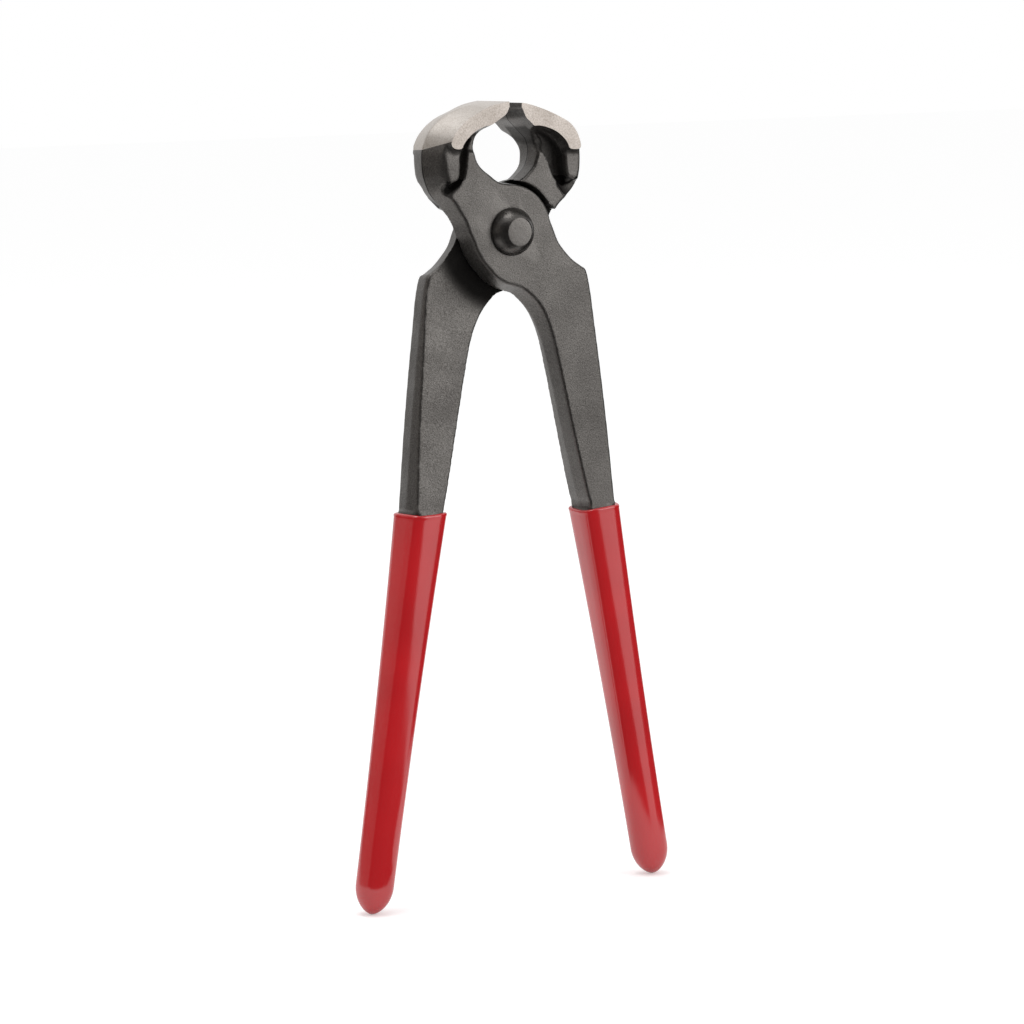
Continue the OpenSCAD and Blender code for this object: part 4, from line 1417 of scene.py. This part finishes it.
class PINCERS_OT_grips(bpy.types.Operator):
    """Dips the two grips"""

    bl_idname = "pincers.grips"
    bl_label = "Dip the grips"

    def execute(self, context):
        fit = context.scene.pincers_fittings
        tree = grip_tree()
        shared = {
            "Rim width": fit.rim_width / MM,
            "Rim depth": fit.rim_depth / MM,
            "End width": fit.grip_end_width / MM,
            "End depth": fit.grip_end_depth / MM,
            "Nose": fit.nose_length / MM,
            "Thickness": fit.dip_thickness / MM,
            "Bead height": fit.bead_height / MM,
            "Bead swell": fit.bead_swell / MM,
            "Waviness": fit.waviness / MM,
            "Flare": fit.flare,
            "Squareness": fit.squareness,
            "End squareness": fit.end_squareness,
            "Around": SLEEVE_AROUND,
            "Rows": SLEEVE_ROWS,
            "Finish": bpy.data.materials["red_dip"],
        }
        for name, rear, body, node, rim_rise, slant, twist in (
            ("front_dip", False, FRONT_BODY, "front_grip",
             fit.front_rim_rise, fit.front_slant, fit.front_twist),
            ("rear_dip", True, REAR_BODY, "rear_grip",
             fit.rear_rim_rise, fit.rear_slant, fit.rear_twist),
        ):
            rise = rim_rise / MM
            made = grown(name, tree, {**shared, "Length": fit.grip_length / MM + rise, "Slant": slant})
            made.data.transform(Matrix.Translation((0, 0, rise)) @ Matrix.Rotation(twist, 4, "Z"))
            posed(on_grip_line(made), rear)
            shade(made, degrees=60)
            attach(made, body)
            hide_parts(node)
        return {"FINISHED"}


# The floor's glow and the world's light, which make the ground white where it is seen.
FLOOR_GREY = 0.8
FLOOR_GLOW = 0.345
FLOOR_HALF = 6
WORLD_LIGHT = 0.8
WORLD_SEEN = 1.0
# Screens that only reflections see: name, grey, first and last angle round from the front in
# degrees, and the radius and height of the lower and of the upper edge.
SCREENS = (
    ("screen_left", 0.035, -72, 16, (1.7, 0.0), (1.7, 2.0)),
    ("screen_back", 0.45, -155, -72, (1.7, 0.0), (1.7, 1.5)),
    ("screen_right", 0.02, 46, 98, (1.7, 0.0), (1.7, 1.1)),
    ("card_left", 0.03, -76, 19, (0.06, 0.004), (1.7, 0.004)),
    ("card_back", 0.04, -155, -76, (0.32, 0.004), (1.7, 0.004)),
    ("card_right", 0.02, 44, 110, (0.08, 0.004), (1.7, 0.004)),
)
SCREEN_STEPS = 12
# The cards beside the grips lie a little to the right.
CARD_SHIFTS = {"card_left": 0.046, "card_right": 0.046}
CLOTH_TINT = (1, 0.95, 0.9)
# Lamps: name, place, width and height in metres, and power in watts.
SOFT_BOXES = (
    ("soft_box_right", (0.76, -1.08, 0.35), (0.58, 1.2), 5.9),
    ("soft_box_top", (-0.2, 0.0, 1.5), (0.6, 0.6), 6.5),
)
LAMP_AIM = Vector((0, 0, 0.12))


class PINCERS_OT_stage(bpy.types.Operator):
    """Sets the floor, the lamps and the camera"""

    bl_idname = "pincers.stage"
    bl_label = "Set the stage"

    def execute(self, context):
        stage = context.scene.pincers_stage
        self.floor()
        self.screens()
        self.lamps(stage.lamp_strength)
        self.camera(context, stage)
        context.scene.view_settings.view_transform = "Standard"
        return {"FINISHED"}

    def floor(self):
        """A white floor that keeps the tool's shadow."""
        h = FLOOR_HALF
        mesh = bpy.data.meshes.new("studio_floor")
        mesh.from_pydata([(-h, -h, 0), (h, -h, 0), (h, h, 0), (-h, h, 0)], [], [(0, 1, 2, 3)])
        made = placed("studio_floor", mesh)
        material = bpy.data.materials.new("floor_white")
        material.use_nodes = True
        tree = material.node_tree
        tree.nodes.clear()
        output = tree.nodes.new("ShaderNodeOutputMaterial")
        white = tree.nodes.new("ShaderNodeBsdfDiffuse")
        white.inputs["Color"].default_value = (FLOOR_GREY, FLOOR_GREY, FLOOR_GREY, 1)
        glow = tree.nodes.new("ShaderNodeEmission")
        strength = maths(tree, "MULTIPLY", seen_directly(tree), FLOOR_GLOW)
        tree.links.new(strength, glow.inputs["Strength"])
        both = tree.nodes.new("ShaderNodeAddShader")
        tree.links.new(white.outputs[0], both.inputs[0])
        tree.links.new(glow.outputs[0], both.inputs[1])
        tree.links.new(both.outputs[0], output.inputs["Surface"])
        mesh.materials.append(material)

    @staticmethod
    def cloth(name, grey):
        """A flat, slightly warm grey cloth for a screen."""
        material = bpy.data.materials.new(name)
        material.use_nodes = True
        shader = material.node_tree.nodes["Principled BSDF"]
        shader.inputs["Base Color"].default_value = (*toned(CLOTH_TINT, grey), 1)
        shader.inputs["Roughness"].default_value = 1
        return material

    def screens(self):
        """Dark screens and cards round the tool, which give the metal its depth."""
        n = SCREEN_STEPS
        for name, grey, start, stop, low, high in SCREENS:
            angles = [math.radians(start + (stop - start) * i / n) for i in range(n + 1)]
            shift = CARD_SHIFTS.get(name, 0.0)
            vertices = [(shift + r * math.sin(a), -r * math.cos(a), z)
                        for r, z in (low, high) for a in angles]
            mesh = bpy.data.meshes.new(name)
            mesh.from_pydata(vertices, [], [(i, i + 1, i + n + 2, i + n + 1) for i in range(n)])
            made = placed(name, mesh)
            made.visible_camera = made.visible_diffuse = made.visible_shadow = False
            mesh.materials.append(self.cloth(f"{name}_cloth", grey))

    def lamps(self, strength):
        """A white studio with one soft box at the front right and one above."""
        world = bpy.data.worlds.new("studio")
        bpy.context.scene.world = world
        world.use_nodes = True
        tree = world.node_tree
        back = tree.nodes["Background"]
        back.inputs["Color"].default_value = (1, 1, 1, 1)
        level = spread(tree, seen_directly(tree), 0, 1, WORLD_LIGHT, WORLD_SEEN)
        tree.links.new(level, back.inputs["Strength"])
        for name, spot, size, power in SOFT_BOXES:
            lamp = bpy.data.lights.new(name, "AREA")
            lamp.shape = "RECTANGLE"
            lamp.size, lamp.size_y = size
            lamp.energy = power * strength
            made = placed(name, lamp)
            made.location = spot
            made.rotation_euler = (LAMP_AIM - Vector(spot)).to_track_quat("-Z", "Y").to_euler()
            made.visible_camera = False

    def camera(self, context, stage):
        """The camera at the photograph's viewing angle."""
        a, e, roll = stage.camera_azimuth, stage.camera_height, stage.camera_roll
        back = Vector((-math.sin(a) * math.cos(e), -math.cos(a) * math.cos(e), math.sin(e)))
        level = Vector((math.cos(a), -math.sin(a), 0))
        upright = level.cross(-back)
        right = level * math.cos(roll) + upright * math.sin(roll)
        up = upright * math.cos(roll) - level * math.sin(roll)
        aim = Vector((0, 0, stage.aim_height)) + level * stage.aim_shift
        camera = bpy.data.cameras.new("camera")
        camera.lens = stage.lens
        camera.sensor_width = 36
        camera.clip_start = 0.05
        made = placed("camera", camera)
        place = Matrix((right, up, back)).transposed().to_4x4()
        place.translation = aim + back * stage.camera_distance
        made.matrix_world = place
        context.scene.camera = made


class PINCERS_PT_panel(bpy.types.Panel):
    """The pincers' sizes, finishes and steps"""

    bl_label = "Carpenter's pincers"
    bl_idname = "PINCERS_PT_panel"
    bl_space_type = "VIEW_3D"
    bl_region_type = "UI"
    bl_category = "Pincers"

    def draw(self, context):
        for title, group in (("Forgings", context.scene.pincers_forging),
                             ("Rivet and grips", context.scene.pincers_fittings),
                             ("Finishes", context.scene.pincers_finishes),
                             ("Stage", context.scene.pincers_stage)):
            box = self.layout.box()
            box.label(text=title)
            for key in group.__annotations__:
                box.prop(group, key)
        for step in STEPS:
            self.layout.operator(step.bl_idname)


STEPS = (PINCERS_OT_materials, PINCERS_OT_levers, PINCERS_OT_rivet, PINCERS_OT_grips, PINCERS_OT_stage)
GROUPS = (
    ("pincers_forging", PincersForging),
    ("pincers_fittings", PincersFittings),
    ("pincers_finishes", PincersFinishes),
    ("pincers_stage", PincersStage),
)


def register():
    """Adds the classes and the scene's properties."""
    for name, group in GROUPS:
        bpy.utils.register_class(group)
        setattr(bpy.types.Scene, name, bpy.props.PointerProperty(type=group))
    for step in STEPS:
        bpy.utils.register_class(step)
    bpy.utils.register_class(PINCERS_PT_panel)


def unregister():
    """Takes them away again."""
    bpy.utils.unregister_class(PINCERS_PT_panel)
    for step in reversed(STEPS):
        bpy.utils.unregister_class(step)
    for name, group in reversed(GROUPS):
        delattr(bpy.types.Scene, name)
        bpy.utils.unregister_class(group)


def main():
    """Makes the whole scene."""
    register()
    bpy.ops.pincers.materials()
    bpy.ops.pincers.levers()
    bpy.ops.pincers.rivet()
    bpy.ops.pincers.grips()
    bpy.ops.pincers.stage()


if __name__ == "__main__":
    main()
